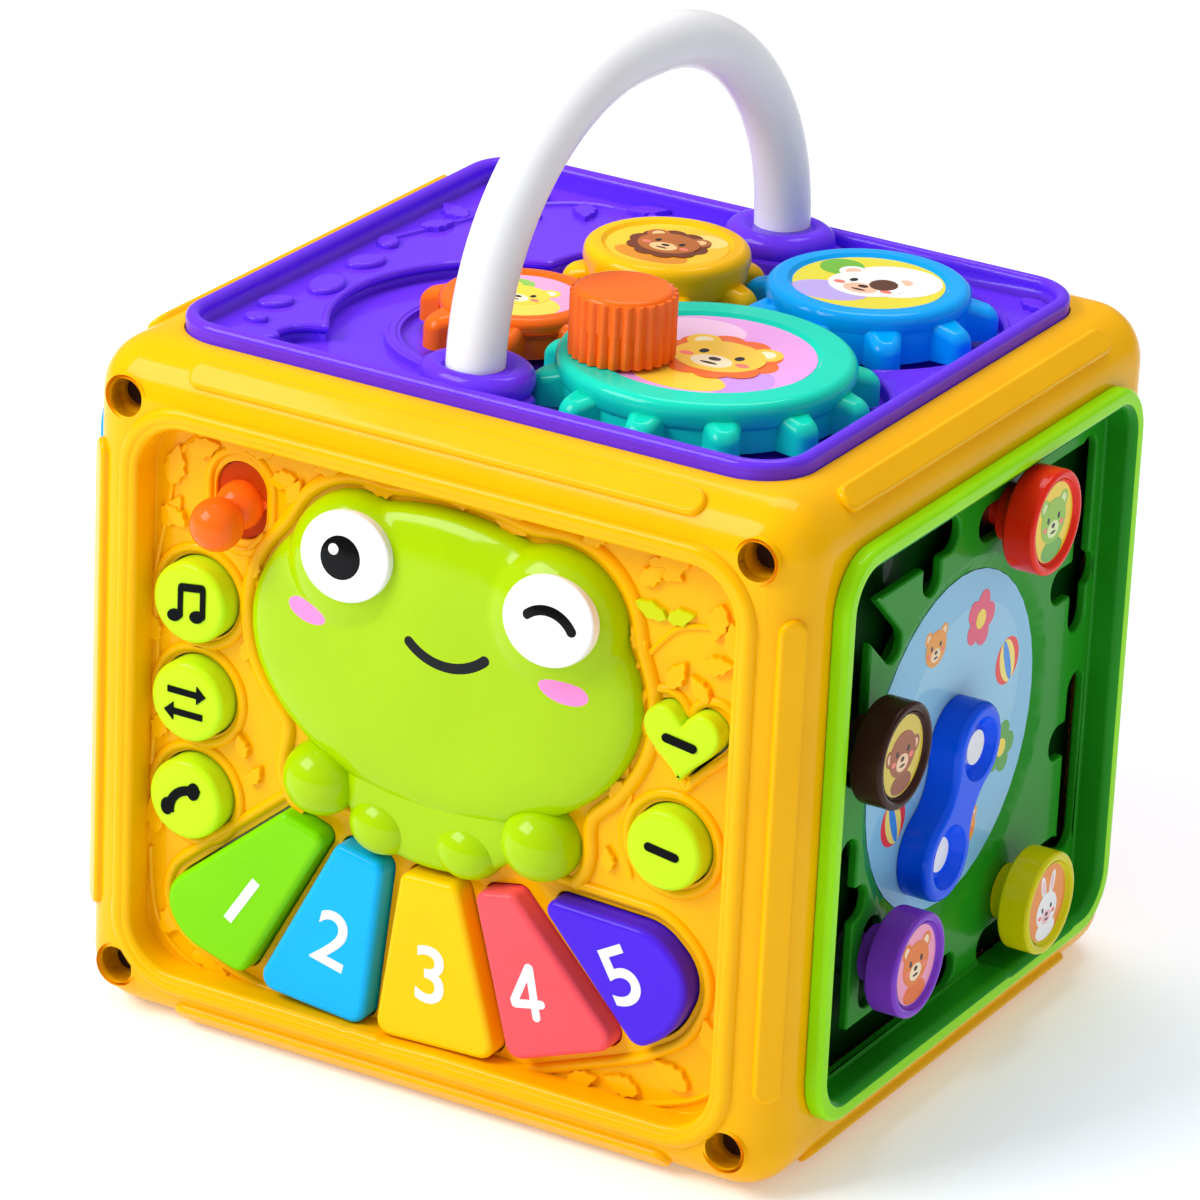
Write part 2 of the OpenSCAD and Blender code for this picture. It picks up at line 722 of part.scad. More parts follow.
module heart_button() {
    color(lime)
    translate([heart_at[0], 0, heart_at[1]]) on_front(flange_y + flange_t) {
        linear_extrude(flange_t) heart(flange_lap + key_gap);
        linear_extrude(flange_y + flange_t - floor_y + button_proud - 1) heart(0);
        translate([0, 0, flange_y + flange_t - plunger_y]) cylinder(r = 3, h = plunger_y - flange_y);
    }
}

module piano_key(i) {
    on_front(flange_y + flange_t) {
        linear_extrude(flange_t) polygon(rounded(key_corners[i], key_radii[i], flange_lap));
        linear_extrude(flange_y + flange_t - floor_y + key_proud) polygon(rounded(key_corners[i], key_radii[i]));
        translate([key_plunger_at[i][0], key_plunger_at[i][1], flange_y + flange_t - plunger_y])
            cylinder(r = 3, h = plunger_y - flange_y);
    }
}

module key_1() { color(key_colours[0]) piano_key(0); }
module key_2() { color(key_colours[1]) piano_key(1); }
module key_3() { color(key_colours[2]) piano_key(2); }
module key_4() { color(key_colours[3]) piano_key(3); }
module key_5() { color(key_colours[4]) piano_key(4); }

module board_sheet(t, hole_r) {
    linear_extrude(t) difference() {
        translate(board_mid) rounded_box(board_box[0], board_box[1], 4);
        for (p = board_posts_at)
            translate(p) circle(hole_r);
    }
}

module key_membrane() {
    color([0.85, 0.85, 0.82])
    difference() {
        on_front(board_y) board_sheet(membrane_t, 3.3);
        on_front(board_y) translate([frog_at[0], frog_at[1], -1]) cylinder(r = 3, h = 4);
    }
}

module circuit_board() {
    color([0.1, 0.4, 0.2])
    on_front(board_y + board_t) board_sheet(board_t, 1.4);
}

module board_screws() {
    color(steel)
    on_front(board_y + board_t) for (p = board_posts_at)
        translate([p[0], p[1], 0]) {
            cylinder(r = 1.1, h = board_t + 4.5);
            translate([0, 0, -1.6]) cylinder(r = 2.6, h = 1.6);
        }
}

module led() {
    color([0.95, 0.95, 0.9])
    on_front(board_y) translate([frog_at[0], frog_at[1], 0]) {
        cylinder(r = 2.5, h = 4);
        translate([0, 0, 4]) sphere(2.5);
    }
}

module tray_relief() {
    linear_extrude(ledge_h) difference() {
        rounded_box(tray_w - 2 * tray_wall + 0.4, tray_d - 2 * tray_wall + 0.4, tray_corner_r - tray_wall);
        translate(orange_at) circle(42.5);
        translate(yellow_at) circle(tip_r(teeth_yellow) + 8);
        translate(blue_at) circle(tip_r(teeth_blue) + 2.2);
        translate(teal_at) circle(tip_r(teeth_teal) + 3);
        translate([-50, -80]) square([140, 60]);
        translate([-51, -52]) circle(9);
    }
}

module collar() {
    h = collar_z - tray_z;
    translate([0, 0, tray_low_z - 6]) cylinder(r = handle_tube_r + 3, h = 7);
    translate([0, 0, tray_z - 0.5]) rotate_extrude() difference() {
        square([collar_r, h + 0.5]);
        translate([collar_r, h + 0.5]) circle(5.4);
    }
}

module top_tray() {
    color(tray_purple)
    difference() {
        union() {
            difference() {
                translate([0, 0, tray_low_z]) linear_extrude(tray_lip_z - tray_low_z)
                    rounded_box(tray_w, tray_d, tray_corner_r);
                translate([0, 0, tray_z]) linear_extrude(40)
                    rounded_box(tray_w - 2 * tray_wall, tray_d - 2 * tray_wall, tray_corner_r - tray_wall);
            }
            translate([0, 0, tray_z - 0.2]) tray_relief();
            difference() {
                intersection() {
                    at_feet() collar();
                    translate([0, 0, tray_low_z - 7]) linear_extrude(40)
                        rounded_box(tray_w - 1, tray_d - 1, tray_corner_r - 1);
                }
                translate([teal_at[0], teal_at[1], tray_z]) cylinder(r = tip_r(teeth_teal) + 0.8, h = 40);
                translate([yellow_at[0], yellow_at[1], tray_z]) cylinder(r = tip_r(teeth_yellow) + 0.8, h = 40);
            }
            translate([orange_at[0], orange_at[1], tray_z - 0.2]) difference() {
                cylinder(r = 29.5, h = 1.7);
                translate([0, 0, -1]) cylinder(r = 26, h = 4);
            }
            for (p = axle_places)
                translate([p[0], p[1], tray_low_z - 5]) cylinder(r = axle_r + 2.5, h = 6);
            at_tray_screws() for (side = [-1, 1]) translate([0, 0, tray_ear_z])
                intersection() {
                    cylinder(r = 5, h = 3);
                    translate([-3.8, -5, 0]) cube([7.6, 10, 3]);
                }
            for (x = [-1, 1], y = [-1, 1])
                translate([x * (tray_w / 2 - 1) - 5, y * tray_screw_y - 5, tray_ear_z]) {
                    cube([10, 10, 3]);
                    translate([x < 0 ? 4.2 : 0, 0, 0]) cube([5.8, 10, tray_low_z - tray_ear_z + 1]);
                }
        }
        at_feet() {
            translate([0, 0, leg_z]) cylinder(r = handle_tube_r + handle_gap, h = 60);
            translate([0, 0, leg_z - 20]) cylinder(r = 2.1, h = 40);
        }
        for (p = axle_places)
            translate([p[0], p[1], tray_low_z - 6]) cylinder(r = axle_r, h = 20);
        translate([0, 0, tray_ear_z - 1]) at_tray_screws() cylinder(r = 1.5, h = 5);
    }
}

module tray_screws() {
    color(steel)
    translate([0, 0, tray_ear_z]) at_tray_screws() {
        translate([0, 0, -1.8]) cylinder(r = 2.8, h = 1.8);
        cylinder(r = 1.2, h = 7.5);
    }
}

module handle() {
    color("white")
    difference() {
        union() {
            rotate(handle_turn) {
                for (side = [0, 180])
                    rotate(side) translate([0, handle_foot - handle_bow_r, bow_z]) rotate([90, 0, 90])
                        rotate_extrude(angle = 90, $fn = 128) translate([handle_bow_r, 0]) circle(handle_tube_r);
                translate([0, 0, bow_z + handle_bow_r]) rotate([90, 0, 0])
                    cylinder(r = handle_tube_r, h = 2 * (handle_foot - handle_bow_r), center = true);
            }
            at_feet() translate([0, 0, leg_z]) cylinder(r = handle_tube_r, h = bow_z - leg_z);
        }
        at_feet() translate([0, 0, leg_z - 1]) cylinder(r = 1.6, h = 12);
    }
}

module handle_screws() {
    color(steel)
    at_feet() {
        translate([0, 0, tray_low_z - 6 - 2.2]) cylinder(r = 3.4, h = 2.2);
        translate([0, 0, tray_low_z - 6 - 1]) cylinder(r = 1.6, h = leg_z - tray_low_z + 16);
    }
}

module toothed(n, phase) {
    rotate(phase) {
        circle(root_r(n));
        for (k = [0 : n - 1])
            rotate(360 * k / n) bar([root_r(n) * 0.8, 0], [tip_r(n) - tooth_half_w, 0], 2 * tooth_half_w);
    }
}

module gear(n, h, drum_r, sticker_r) {
    top = tray_z + h;
    difference() {
        union() {
            translate([0, 0, tooth_z]) linear_extrude(tooth_h) toothed(n, 0);
            translate([0, 0, tooth_z]) cylinder(r = root_r(n), h = top - tooth_z - 1);
            translate([0, 0, tooth_z + tooth_h]) cylinder(r = drum_r, h = top - tooth_z - tooth_h);
        }
        translate([0, 0, tooth_z - 1]) cylinder(r = root_r(n) - 2.5, h = top - tooth_z - 2.5);
        translate([0, 0, top - sticker_sink]) cylinder(r = sticker_r, h = 5);
        translate([0, 0, hub_z - 1]) cylinder(r = axle_r + run_gap, h = 30);
    }
    difference() {
        translate([0, 0, hub_z]) cylinder(r = hub_r, h = top - sticker_sink - hub_z);
        translate([0, 0, hub_z - 1]) cylinder(r = axle_r + run_gap, h = 30);
        translate([0, 0, top - sticker_sink - pin_head_t - 0.1]) cylinder(r = pin_head_r + 0.2, h = 10);
    }
}

module gear_body(n, h, drum_r, sticker_r) {
    top = tray_z + h;
    difference() {
        gear(n, h, drum_r, sticker_r);
        translate([0, 0, top - sticker_sink - pin_head_t - 0.1]) cylinder(r = pin_head_r + 0.2, h = 10);
    }
}

module gear_teal() {
    color([0, 0.8, 0.7])
    difference() {
        union() {
            translate([teal_at[0], teal_at[1], 0]) rotate(teal_phase) gear_body(teeth_teal, teal_h, 32.7, 24);
            translate([crank_at[0], crank_at[1], tooth_z + 1]) cylinder(r = 6, h = crank_z - 0.2 - tooth_z - 1);
        }
        translate([crank_at[0], crank_at[1], tooth_z + 2]) cylinder(r = crank_pin_r, h = 40);
    }
}

module gear_orange() {
    color([1, 0.47, 0.1])
    translate([orange_at[0], orange_at[1], 0]) rotate(orange_phase) gear_body(teeth_orange, orange_h, 18, 13.5);
}

module gear_yellow() {
    color([1, 0.78, 0])
    translate([yellow_at[0], yellow_at[1], 0]) rotate(yellow_phase) gear_body(teeth_yellow, yellow_h, 18.9, 14);
}

module gear_blue() {
    color([0, 0.63, 0.98])
    translate([blue_at[0], blue_at[1], 0]) rotate(blue_phase) gear_body(teeth_blue, blue_h, 22.9, 17.2);
}

module gear_axles() {
    color(steel)
    for (i = [0 : 3])
        translate([axle_places[i][0], axle_places[i][1], 0]) {
            top = tray_z + axle_tops[i] - sticker_sink;
            translate([0, 0, tray_low_z - 5]) cylinder(r = axle_r, h = top - tray_low_z + 5);
            translate([0, 0, top - pin_head_t]) cylinder(r = pin_head_r, h = pin_head_t);
        }
}

module crank_knob() {
    color([1, 0.45, 0.1])
    translate([crank_at[0], crank_at[1], crank_z])
        difference() {
            union() {
                cylinder(r = crank_r, h = crank_h);
                for (k = [0 : crank_flutes - 1])
                    rotate(360 * k / crank_flutes) translate([crank_r - 0.3, 0, 0]) cylinder(r = 0.85, h = crank_h - 1.2, $fn = 24);
            }
            translate([0, 0, -1]) cylinder(r = crank_pin_r + run_gap, h = 40);
            translate([0, 0, crank_h - 2.4]) cylinder(r = 4.4, h = 5);
        }
}

module crank_pin() {
    color(steel)
    translate([crank_at[0], crank_at[1], 0]) {
        translate([0, 0, tooth_z + 2]) cylinder(r = crank_pin_r, h = crank_z + crank_h - 1 - tooth_z - 2);
        translate([0, 0, crank_z + crank_h - 2.3]) cylinder(r = 4.2, h = 1.8);
    }
}

// A panel whose rim lies on the case and whose skirt clips behind the wall
module side_tray(w) {
    low = -side_skirt;
    translate([0, side_mid_z, 0]) {
        difference() {
            union() {
                linear_extrude(side_rim_h) rounded_box(w, side_h, side_corner_r);
                translate([0, 0, low]) linear_extrude(side_skirt + 1)
                    rounded_box(w - 2 * side_lap, side_h - 2 * side_lap, side_corner_r - side_lap);
            }
            translate([0, 0, -side_recess]) linear_extrude(40)
                rounded_box(w - 2 * side_rim_w, side_h - 2 * side_rim_w, side_corner_r - side_rim_w);
        }
        for (a = [-1, 1], b = [-1, 1])
            translate([a * 30 - 6, b * (side_h / 2 - side_lap) - 1.4, low])
                cube([12, 2.8, side_skirt - case_wall - 0.2]);
    }
}

module maze_panel() {
    color(leaf_green)
    difference() {
        union() {
            on_right(side_x) side_tray(side_w);
            on_right(pocket_back_x - 2) translate([0, side_mid_z, 0]) cylinder(r = 42, h = maze_back_x - pocket_back_x + 2.5);
        }
        on_right(pocket_back_x) translate([0, side_mid_z, 0]) {
            cylinder(r = picture_r + 0.3, h = 40);
            translate([0, 0, picture_t]) cylinder(r1 = picture_r + 1, r2 = picture_r + 5, h = maze_x - picture_x + 0.01);
        }
        on_right(0) translate([0, 0, maze_back_x - 1]) linear_extrude(30)
            for (t = tracks)
                bar(t[0], t[1], track_w);
        on_right(pocket_back_x - 10) translate([0, side_mid_z, 0]) cylinder(r = pointer_pin_r, h = 30);
    }
}

module picture_disc() {
    color([0.6, 0.82, 0.94])
    on_right(pocket_back_x) translate([0, side_mid_z, 0]) difference() {
        cylinder(r = picture_r, h = picture_t);
        translate([0, 0, -1]) cylinder(r = pointer_pin_r + 0.1, h = 10);
    }
}

module pointer() {
    far = pointer_l * [-sin(pointer_aim), -cos(pointer_aim)];
    color([0, 0.31, 0.94])
    on_right(pointer_x) translate([0, side_mid_z, 0]) difference() {
        linear_extrude(pointer_t) {
            circle(pointer_r);
            translate(far) circle(pointer_r);
            bar([0, 0], far, 13.5);
        }
        translate([0, 0, -1]) cylinder(r = pointer_pin_r + run_gap, h = 40);
        translate([0, 0, pointer_t - 3]) cylinder(r = 7.4, h = 5);
        translate([far[0], far[1], pointer_t - 3]) cylinder(r = 7.4, h = 5);
    }
}

module pointer_pin() {
    color(steel)
    on_right(pocket_back_x - 2) translate([0, side_mid_z, 0]) {
        cylinder(r = pointer_pin_r, h = pointer_x + pointer_t - 3 - pocket_back_x + 3);
        translate([0, 0, pointer_x + pointer_t - 2.9 - pocket_back_x + 2]) cylinder(r = 4, h = 1.4);
    }
}

module slider(i) {
    on_right(maze_x) translate([slider_at[i][0], slider_at[i][1], 0]) {
        translate([0, 0, slider_lift]) cylinder(r = slider_r, h = slider_t);
        translate([0, 0, 0.3]) cylinder(r = slider_step_r, h = slider_lift);
        translate([0, 0, -panel_floor - 0.3]) cylinder(r = slider_neck_r, h = panel_floor + 1);
        translate([0, 0, -panel_floor - 0.3 - retainer_t]) cylinder(r = slider_pin_r, h = retainer_t + 1);
    }
}

module retainer(i) {
    on_right(maze_back_x - 0.3 - retainer_t) translate([slider_at[i][0], slider_at[i][1], 0]) difference() {
        cylinder(r = retainer_r, h = retainer_t);
        translate([0, 0, -1]) cylinder(r = slider_pin_r, h = 10);
    }
}

module slider_red() { color([0.94, 0.2, 0.08]) slider(0); }
module slider_brown() { color([0.24, 0.14, 0.11]) slider(1); }
module slider_purple() { color([0.51, 0.24, 0.78]) slider(2); }
module slider_yellow() { color([0.88, 0.84, 0]) slider(3); }
module retainer_red() { color(lime) retainer(0); }
module retainer_brown() { color(lime) retainer(1); }
module retainer_purple() { color(lime) retainer(2); }
module retainer_yellow() { color(lime) retainer(3); }

module left_panel() {
    color([0.1, 0.62, 0.9])
    on_left(-side_x) {
        side_tray(side_w);
        translate([0, side_mid_z, -side_recess - 0.5]) {
            cylinder(r = 24, h = 4);
            for (k = [0 : 11])
                rotate(30 * k) translate([30, -2.5, 0]) cube([12, 5, 3]);
        }
    }
}

module back_panel() {
    color([1, 0.45, 0.2])
    on_back(case_d / 2) {
        side_tray(back_w);
        translate([0, side_mid_z, -side_recess - 0.5]) {
            translate([-40, 22, 0]) cylinder(r = 18, h = 3.5);
            translate([22, 4, 0]) cube([36, 36, 3.5]);
            linear_extrude(3.5) polygon([[-58, -44], [-22, -44], [-40, -12]]);
            linear_extrude(3.5) bar([28, -28], [52, -28], 26);
        }
    }
}

module base_panel() {
    color(case_yellow)
    difference() {
        linear_extrude(base_t)
            rounded_box(base_w - 2 * panel_gap, base_d - 2 * panel_gap, 10 - panel_gap);
        translate([0, 0, -1]) {
            at_base_screws() cylinder(r = 1.5, h = 20);
            linear_extrude(20) {
                translate(box_mid) rounded_box(box_in[0], box_in[1], 3);
                translate(switch_at) square(switch_slot, center = true);
                translate(speaker_at) for (i = [-3 : 3])
                    translate([0, i * 4.6]) square([30 - abs(i) * 4, 2], center = true);
            }
        }
        translate([0, 0, -1]) at_base_screws() cylinder(r = base_screw_head_r + 0.3, h = base_screw_sink + 1);
        translate([box_mid[0], box_mid[1] - box_in[1] / 2 - 5, -1]) cylinder(r = 1.1, h = 20);
        translate([box_mid[0], box_mid[1] - box_in[1] / 2 - 3, -1]) linear_extrude(door_t + 1)
            rounded_box(16.6, 14.6, 2.3);
    }
}

module base_screws() {
    color(steel)
    at_base_screws() {
        translate([0, 0, 0.3]) cylinder(r = base_screw_head_r, h = base_screw_sink - 0.3);
        translate([0, 0, 0.3]) cylinder(r = 1.2, h = 7.2);
    }
}

module battery_box() {
    color([0.15, 0.15, 0.16])
    translate([box_mid[0], box_mid[1], base_top_z]) difference() {
        linear_extrude(box_h) rounded_box(box_in[0] + 2 * box_wall, box_in[1] + 2 * box_wall, 3 + box_wall);
        translate([0, 0, -1]) linear_extrude(box_h - box_wall + 1) rounded_box(box_in[0], box_in[1], 3);
    }
}

module battery_cells() {
    color([0.2, 0.22, 0.25])
    for (i = [-1 : 1])
        translate([box_mid[0] + i * (2 * cell_r + 0.6), box_mid[1], base_top_z + box_h - box_wall - cell_r - 0.1])
            rotate([90, 0, 0]) {
                cylinder(r = cell_r, h = cell_l - 1.5, center = true);
                cylinder(r = 2.7, h = cell_l + 1, center = true);
            }
}

module battery_door() {
    color(case_yellow)
    difference() {
        translate([box_mid[0], box_mid[1], 0]) {
            linear_extrude(door_t) rounded_box(box_in[0] - 0.6, box_in[1] - 0.6, 2.7);
            translate([0, -box_in[1] / 2 - 3, 0]) linear_extrude(door_t) rounded_box(16, 14, 2);
        }
        translate([box_mid[0], box_mid[1] - box_in[1] / 2 - 5, -1]) {
            cylinder(r = 1.4, h = 20);
            cylinder(r = 2.6, h = 2);
        }
    }
}

module battery_door_screw() {
    color(steel)
    translate([box_mid[0], box_mid[1] - box_in[1] / 2 - 5, 0]) {
        translate([0, 0, 0.2]) cylinder(r = 2.4, h = 0.8);
        translate([0, 0, 0.2]) cylinder(r = 1.1, h = base_top_z);
    }
}

module speaker() {
    color([0.2, 0.2, 0.2])
    translate([speaker_at[0], speaker_at[1], base_top_z]) {
        cylinder(r = speaker_r, h = 3);
        translate([0, 0, 3]) cylinder(r1 = speaker_r - 3, r2 = 11, h = 5);
        translate([0, 0, 8]) cylinder(r = 11, h = 5);
    }
}

module power_switch() {
    color([0.9, 0.2, 0.15])
    translate([switch_at[0] - switch_travel / 2, switch_at[1], 0]) {
        translate([-3.5, -2.3, 0.2]) cube([7, 4.6, base_t]);
        translate([-8, -4, base_t + 0.1]) cube([16, 8, 2]);
    }
}

module switch_housing() {
    color([0.15, 0.15, 0.16])
    translate([switch_at[0], switch_at[1], base_top_z]) difference() {
        translate([-13, -6, 0]) cube([26, 12, 4]);
        translate([-11.3, -4.2, -1]) cube([22.6, 8.4, 3.3]);
    }
}

case_shell();
front_panel();
front_screws();
frog_cover();
frog_eyes();
toggle_lever();
lever_pin();
button_upper();
button_middle();
button_lower();
heart_button();
round_button();
key_1();
key_2();
key_3();
key_4();
key_5();
key_membrane();
circuit_board();
board_screws();
led();
top_tray();
tray_screws();
handle();
handle_screws();
gear_teal();
gear_orange();
gear_yellow();
gear_blue();
gear_axles();
crank_knob();
crank_pin();
maze_panel();
picture_disc();
pointer();
pointer_pin();
slider_red();
slider_brown();
slider_purple();
slider_yellow();
retainer_red();
retainer_brown();
retainer_purple();
retainer_yellow();
left_panel();
back_panel();
base_panel();
base_screws();
battery_box();
battery_cells();
battery_door();
battery_door_screw();
speaker();
power_switch();
switch_housing();
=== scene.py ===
# %% [markdown]
# # Dressing an activity cube
# The toy is a yellow box with something to play with on its front, its top and its right side. Its solids
# come from a CAD model and keep their places. Here every piece that shows gets soft moulded edges, its own
# plastic and its small prints. Drawings are in millimetres, as on a workshop sheet, and a matrix carries
# each one onto its face.

# %% Load the frame
import math
import bmesh
import bpy
from mathutils import Matrix, Quaternion, Vector


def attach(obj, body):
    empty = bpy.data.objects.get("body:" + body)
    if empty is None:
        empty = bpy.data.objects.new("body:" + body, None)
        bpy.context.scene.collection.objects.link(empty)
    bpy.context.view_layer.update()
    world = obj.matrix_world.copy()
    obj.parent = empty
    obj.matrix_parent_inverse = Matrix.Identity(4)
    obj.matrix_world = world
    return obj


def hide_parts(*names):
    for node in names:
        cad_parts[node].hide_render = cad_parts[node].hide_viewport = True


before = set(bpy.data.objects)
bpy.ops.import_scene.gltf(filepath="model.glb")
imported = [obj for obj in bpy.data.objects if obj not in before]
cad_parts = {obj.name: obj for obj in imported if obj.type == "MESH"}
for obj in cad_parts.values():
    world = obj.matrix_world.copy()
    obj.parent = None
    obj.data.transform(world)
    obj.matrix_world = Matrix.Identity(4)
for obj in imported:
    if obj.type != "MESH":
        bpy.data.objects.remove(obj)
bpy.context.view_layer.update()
MM = 0.001

# %% [markdown]
# ## Camera
# The photograph looks down at the front and the right side from well above, through a long lens. Aiming
# from one named place at another keeps the numbers readable, and a small roll sets the tilt. The lamps
# are aimed by the same function at the end.

# %% Camera
def link(name, data):
    """A new object in the scene."""
    thing = bpy.data.objects.new(name, data)
    bpy.context.scene.collection.objects.link(thing)
    return thing


def aim(thing, place, target, roll=0):
    """Stands a camera or a lamp at one place and points it at another."""
    looking = (Vector(target) - Vector(place)).to_track_quat("-Z", "Y")
    thing.rotation_mode = "QUATERNION"
    thing.rotation_quaternion = looking @ Quaternion((0, 0, 1), roll)
    thing.location = place


camera_place = Vector((683.9, -1218.3, 674.8)) * MM
camera_target = Vector((-4.0, -1.5, 91.7)) * MM
camera_roll = math.radians(2.69)
camera_data = bpy.data.cameras.new("camera")
camera_data.sensor_width = 36
camera_data.lens = 202.3
camera = link("camera", camera_data)
aim(camera, camera_place, camera_target, camera_roll)
bpy.context.scene.camera = camera
print("camera is", round((camera_target - camera_place).length, 3), "m away")

# %% [markdown]
# ## Plastics
# Moulded toy plastic is nearly one colour, yet the real thing has faint clouds in its colour, an uneven
# polish and a fine grain. One function makes all of them, so that each piece needs only a colour.

# %% Plastics
cloud_scale = 38
polish_scale = 160
grain_scale = 1500
grain_strength = 0.02
grain_height = 0.2 * MM
edge_shine = 0.05
coat_rough = 0.05


def linear(rgb):
    """Screen colour from 0 to 255 as the light values that a shader wants."""
    return [(c / 255 / 12.92) if c < 11 else ((c / 255 + 0.055) / 1.055) ** 2.4 for c in rgb]


def add_noise(tree, place, scale, detail):
    noise = tree.nodes.new("ShaderNodeTexNoise")
    noise.inputs["Scale"].default_value = scale
    noise.inputs["Detail"].default_value = detail
    tree.links.new(place.outputs["Object"], noise.inputs["Vector"])
    return noise.outputs["Fac"]


def plastic(name, rgb, rough=0.24, coat=0.16, clouds=0.04):
    material = bpy.data.materials.new(name)
    material.use_nodes = True
    tree = material.node_tree
    shader = tree.nodes["Principled BSDF"]
    place = tree.nodes.new("ShaderNodeTexCoord")
    tone = tree.nodes.new("ShaderNodeValToRGB")
    for end, at, share in zip(tone.color_ramp.elements, (0.3, 0.7), (1 - clouds, 1 + clouds)):
        end.position = at
        end.color = [min(1, c * share) for c in linear(rgb)] + [1]
    tree.links.new(add_noise(tree, place, cloud_scale, 3), tone.inputs["Fac"])
    tree.links.new(tone.outputs["Color"], shader.inputs["Base Color"])
    spread = tree.nodes.new("ShaderNodeMapRange")
    spread.inputs["To Min"].default_value = rough * 0.8
    spread.inputs["To Max"].default_value = rough * 1.25
    tree.links.new(add_noise(tree, place, polish_scale, 4), spread.inputs["Value"])
    tree.links.new(spread.outputs["Result"], shader.inputs["Roughness"])
    bump = tree.nodes.new("ShaderNodeBump")
    bump.inputs["Strength"].default_value = grain_strength
    bump.inputs["Distance"].default_value = grain_height
    tree.links.new(add_noise(tree, place, grain_scale, 2), bump.inputs["Height"])
    tree.links.new(bump.outputs["Normal"], shader.inputs["Normal"])
    shader.inputs["Specular IOR Level"].default_value = edge_shine
    shader.inputs["Coat Weight"].default_value = coat
    shader.inputs["Coat Roughness"].default_value = coat_rough
    return material


# %% [markdown]
# The colours were matched to the photograph by trial renders. The toys and the tray get more gloss than the
# case, whose yellow would look pale under it.

# %% Colours
gloss = 0.28
yellow = plastic("yellow_plastic", (255, 185, 0))
frog_green = plastic("frog_green_plastic", (170, 209, 0), rough=0.2, coat=0.3)
lime = plastic("lime_plastic", (198, 242, 24))
tray_purple = plastic("tray_purple_plastic", (108, 52, 238), coat=gloss)
teal = plastic("teal_plastic", (16, 212, 182), coat=gloss)
sky_blue = plastic("sky_blue_plastic", (0, 164, 248), coat=gloss)
orange = plastic("orange_plastic", (255, 108, 20), coat=gloss)
gear_yellow = plastic("gear_yellow_plastic", (255, 192, 0), coat=gloss)
white = plastic("white_plastic", (238, 238, 240), rough=0.22, clouds=0.015)
rim_lime = plastic("rim_lime_plastic", (154, 234, 6))
leaf_green = plastic("leaf_green_plastic", (34, 146, 26))
# A near-black green, painted shade for the deep slots of the maze.
slot_shade_green = plastic("slot_shade_plastic", (10, 60, 14), rough=0.4)
royal_blue = plastic("royal_blue_plastic", (0, 86, 248), coat=gloss)
red = plastic("red_plastic", (238, 40, 14), coat=gloss)
brown = plastic("brown_plastic", (58, 32, 24))
violet = plastic("violet_plastic", (128, 56, 200), coat=gloss)
lemon = plastic("lemon_plastic", (224, 214, 0), coat=gloss)
pale_blue = plastic("pale_blue_card", (150, 208, 236), rough=0.2)
black = plastic("black_ink", (12, 12, 12), rough=0.4, coat=0)
boot_orange = plastic("boot_orange_rubber", (196, 66, 6), rough=0.45, coat=0)
sprout = plastic("sprout_plastic", (206, 214, 0))
# Dark brown for the front screws: painted shade of the deep screw wells, not the colour of steel.
screw_well_shade = plastic("screw_well_shade", (46, 24, 14), rough=0.5, coat=0)
steel = plastic("steel", (150, 150, 155), rough=0.3, coat=0)
steel.node_tree.nodes["Principled BSDF"].inputs["Metallic"].default_value = 1
print(len(bpy.data.materials), "materials so far")

# %% [markdown]
# ## Drawing boards
# Each face of the box is a drawing board: x to the right, y up and z towards the player. A board's matrix
# turns a drawing in millimetres into its place on the toy, so a button is drawn flat and lands upright.

# %% Drawing boards
def board(right, up, out, at):
    turn = Matrix((right, up, out)).transposed().to_4x4()
    return Matrix.Translation(Vector(at) * MM) @ turn @ Matrix.Scale(MM, 4)


def front(y, x=0, z=0):
    return board((1, 0, 0), (0, 0, 1), (0, -1, 0), (x, y, z))


def right_side(x, y=0, z=0):
    return board((0, 1, 0), (0, 0, 1), (1, 0, 0), (x, y, z))


def left_side(x, y=0, z=0):
    return board((0, -1, 0), (0, 0, 1), (-1, 0, 0), (x, y, z))


def behind(y, x=0, z=0):
    return board((-1, 0, 0), (0, 0, 1), (0, 1, 0), (x, y, z))


def above(z, x=0, y=0):
    return board((1, 0, 0), (0, 1, 0), (0, 0, 1), (x, y, z))


def spin_about(x, y, bearing):
    """A place and a turn on a board."""
    return Matrix.Translation((x, y, 0)) @ Matrix.Rotation(math.radians(bearing), 4, "Z")


# %% [markdown]
# ## Outlines
# Nearly every moulded piece starts as a flat outline with round corners, because a mould is cut with a round
# tool. So most outlines need no other curve than an arc.

# %% Outlines
def arc(middle, radius, first, last, steps=8):
    """Points on an arc, by its bearings in degrees."""
    turns = [math.radians(first + (last - first) * k / steps) for k in range(steps + 1)]
    return [(middle[0] + radius * math.cos(t), middle[1] + radius * math.sin(t)) for t in turns]


def stadium(length, width):
    """A bar with round ends."""
    reach = length / 2 - width / 2
    return arc((reach, 0), width / 2, -90, 90) + arc((-reach, 0), width / 2, 90, 270)


def rounded_rectangle(width, height, radius, steps=8):
    x, y = width / 2 - radius, height / 2 - radius
    corners = [((x, y), 0), ((-x, y), 90), ((-x, -y), 180), ((x, -y), 270)]
    return [p for middle, first in corners for p in arc(middle, radius, first, first + 90, steps)]


def rounded_outline(corners, radii, grow=0, steps=6):
    """A polygon, drawn anticlockwise, with round corners and a margin."""
    points = []
    for i, corner in enumerate(corners):
        here = Vector(corner)
        before = (here - Vector(corners[i - 1])).normalized()
        after = (Vector(corners[(i + 1) % len(corners)]) - here).normalized()
        out_a = Vector((before.y, -before.x))
        out_b = Vector((after.y, -after.x))
        middle = here - radii[i] * (out_a + out_b) / (1 + out_a.dot(out_b))
        first = math.degrees(math.atan2(out_a.y, out_a.x))
        turn = math.degrees(math.acos(max(-1, min(1, out_a.dot(out_b)))))
        points += arc(middle, radii[i] + grow, first, first + turn, steps)
    return points


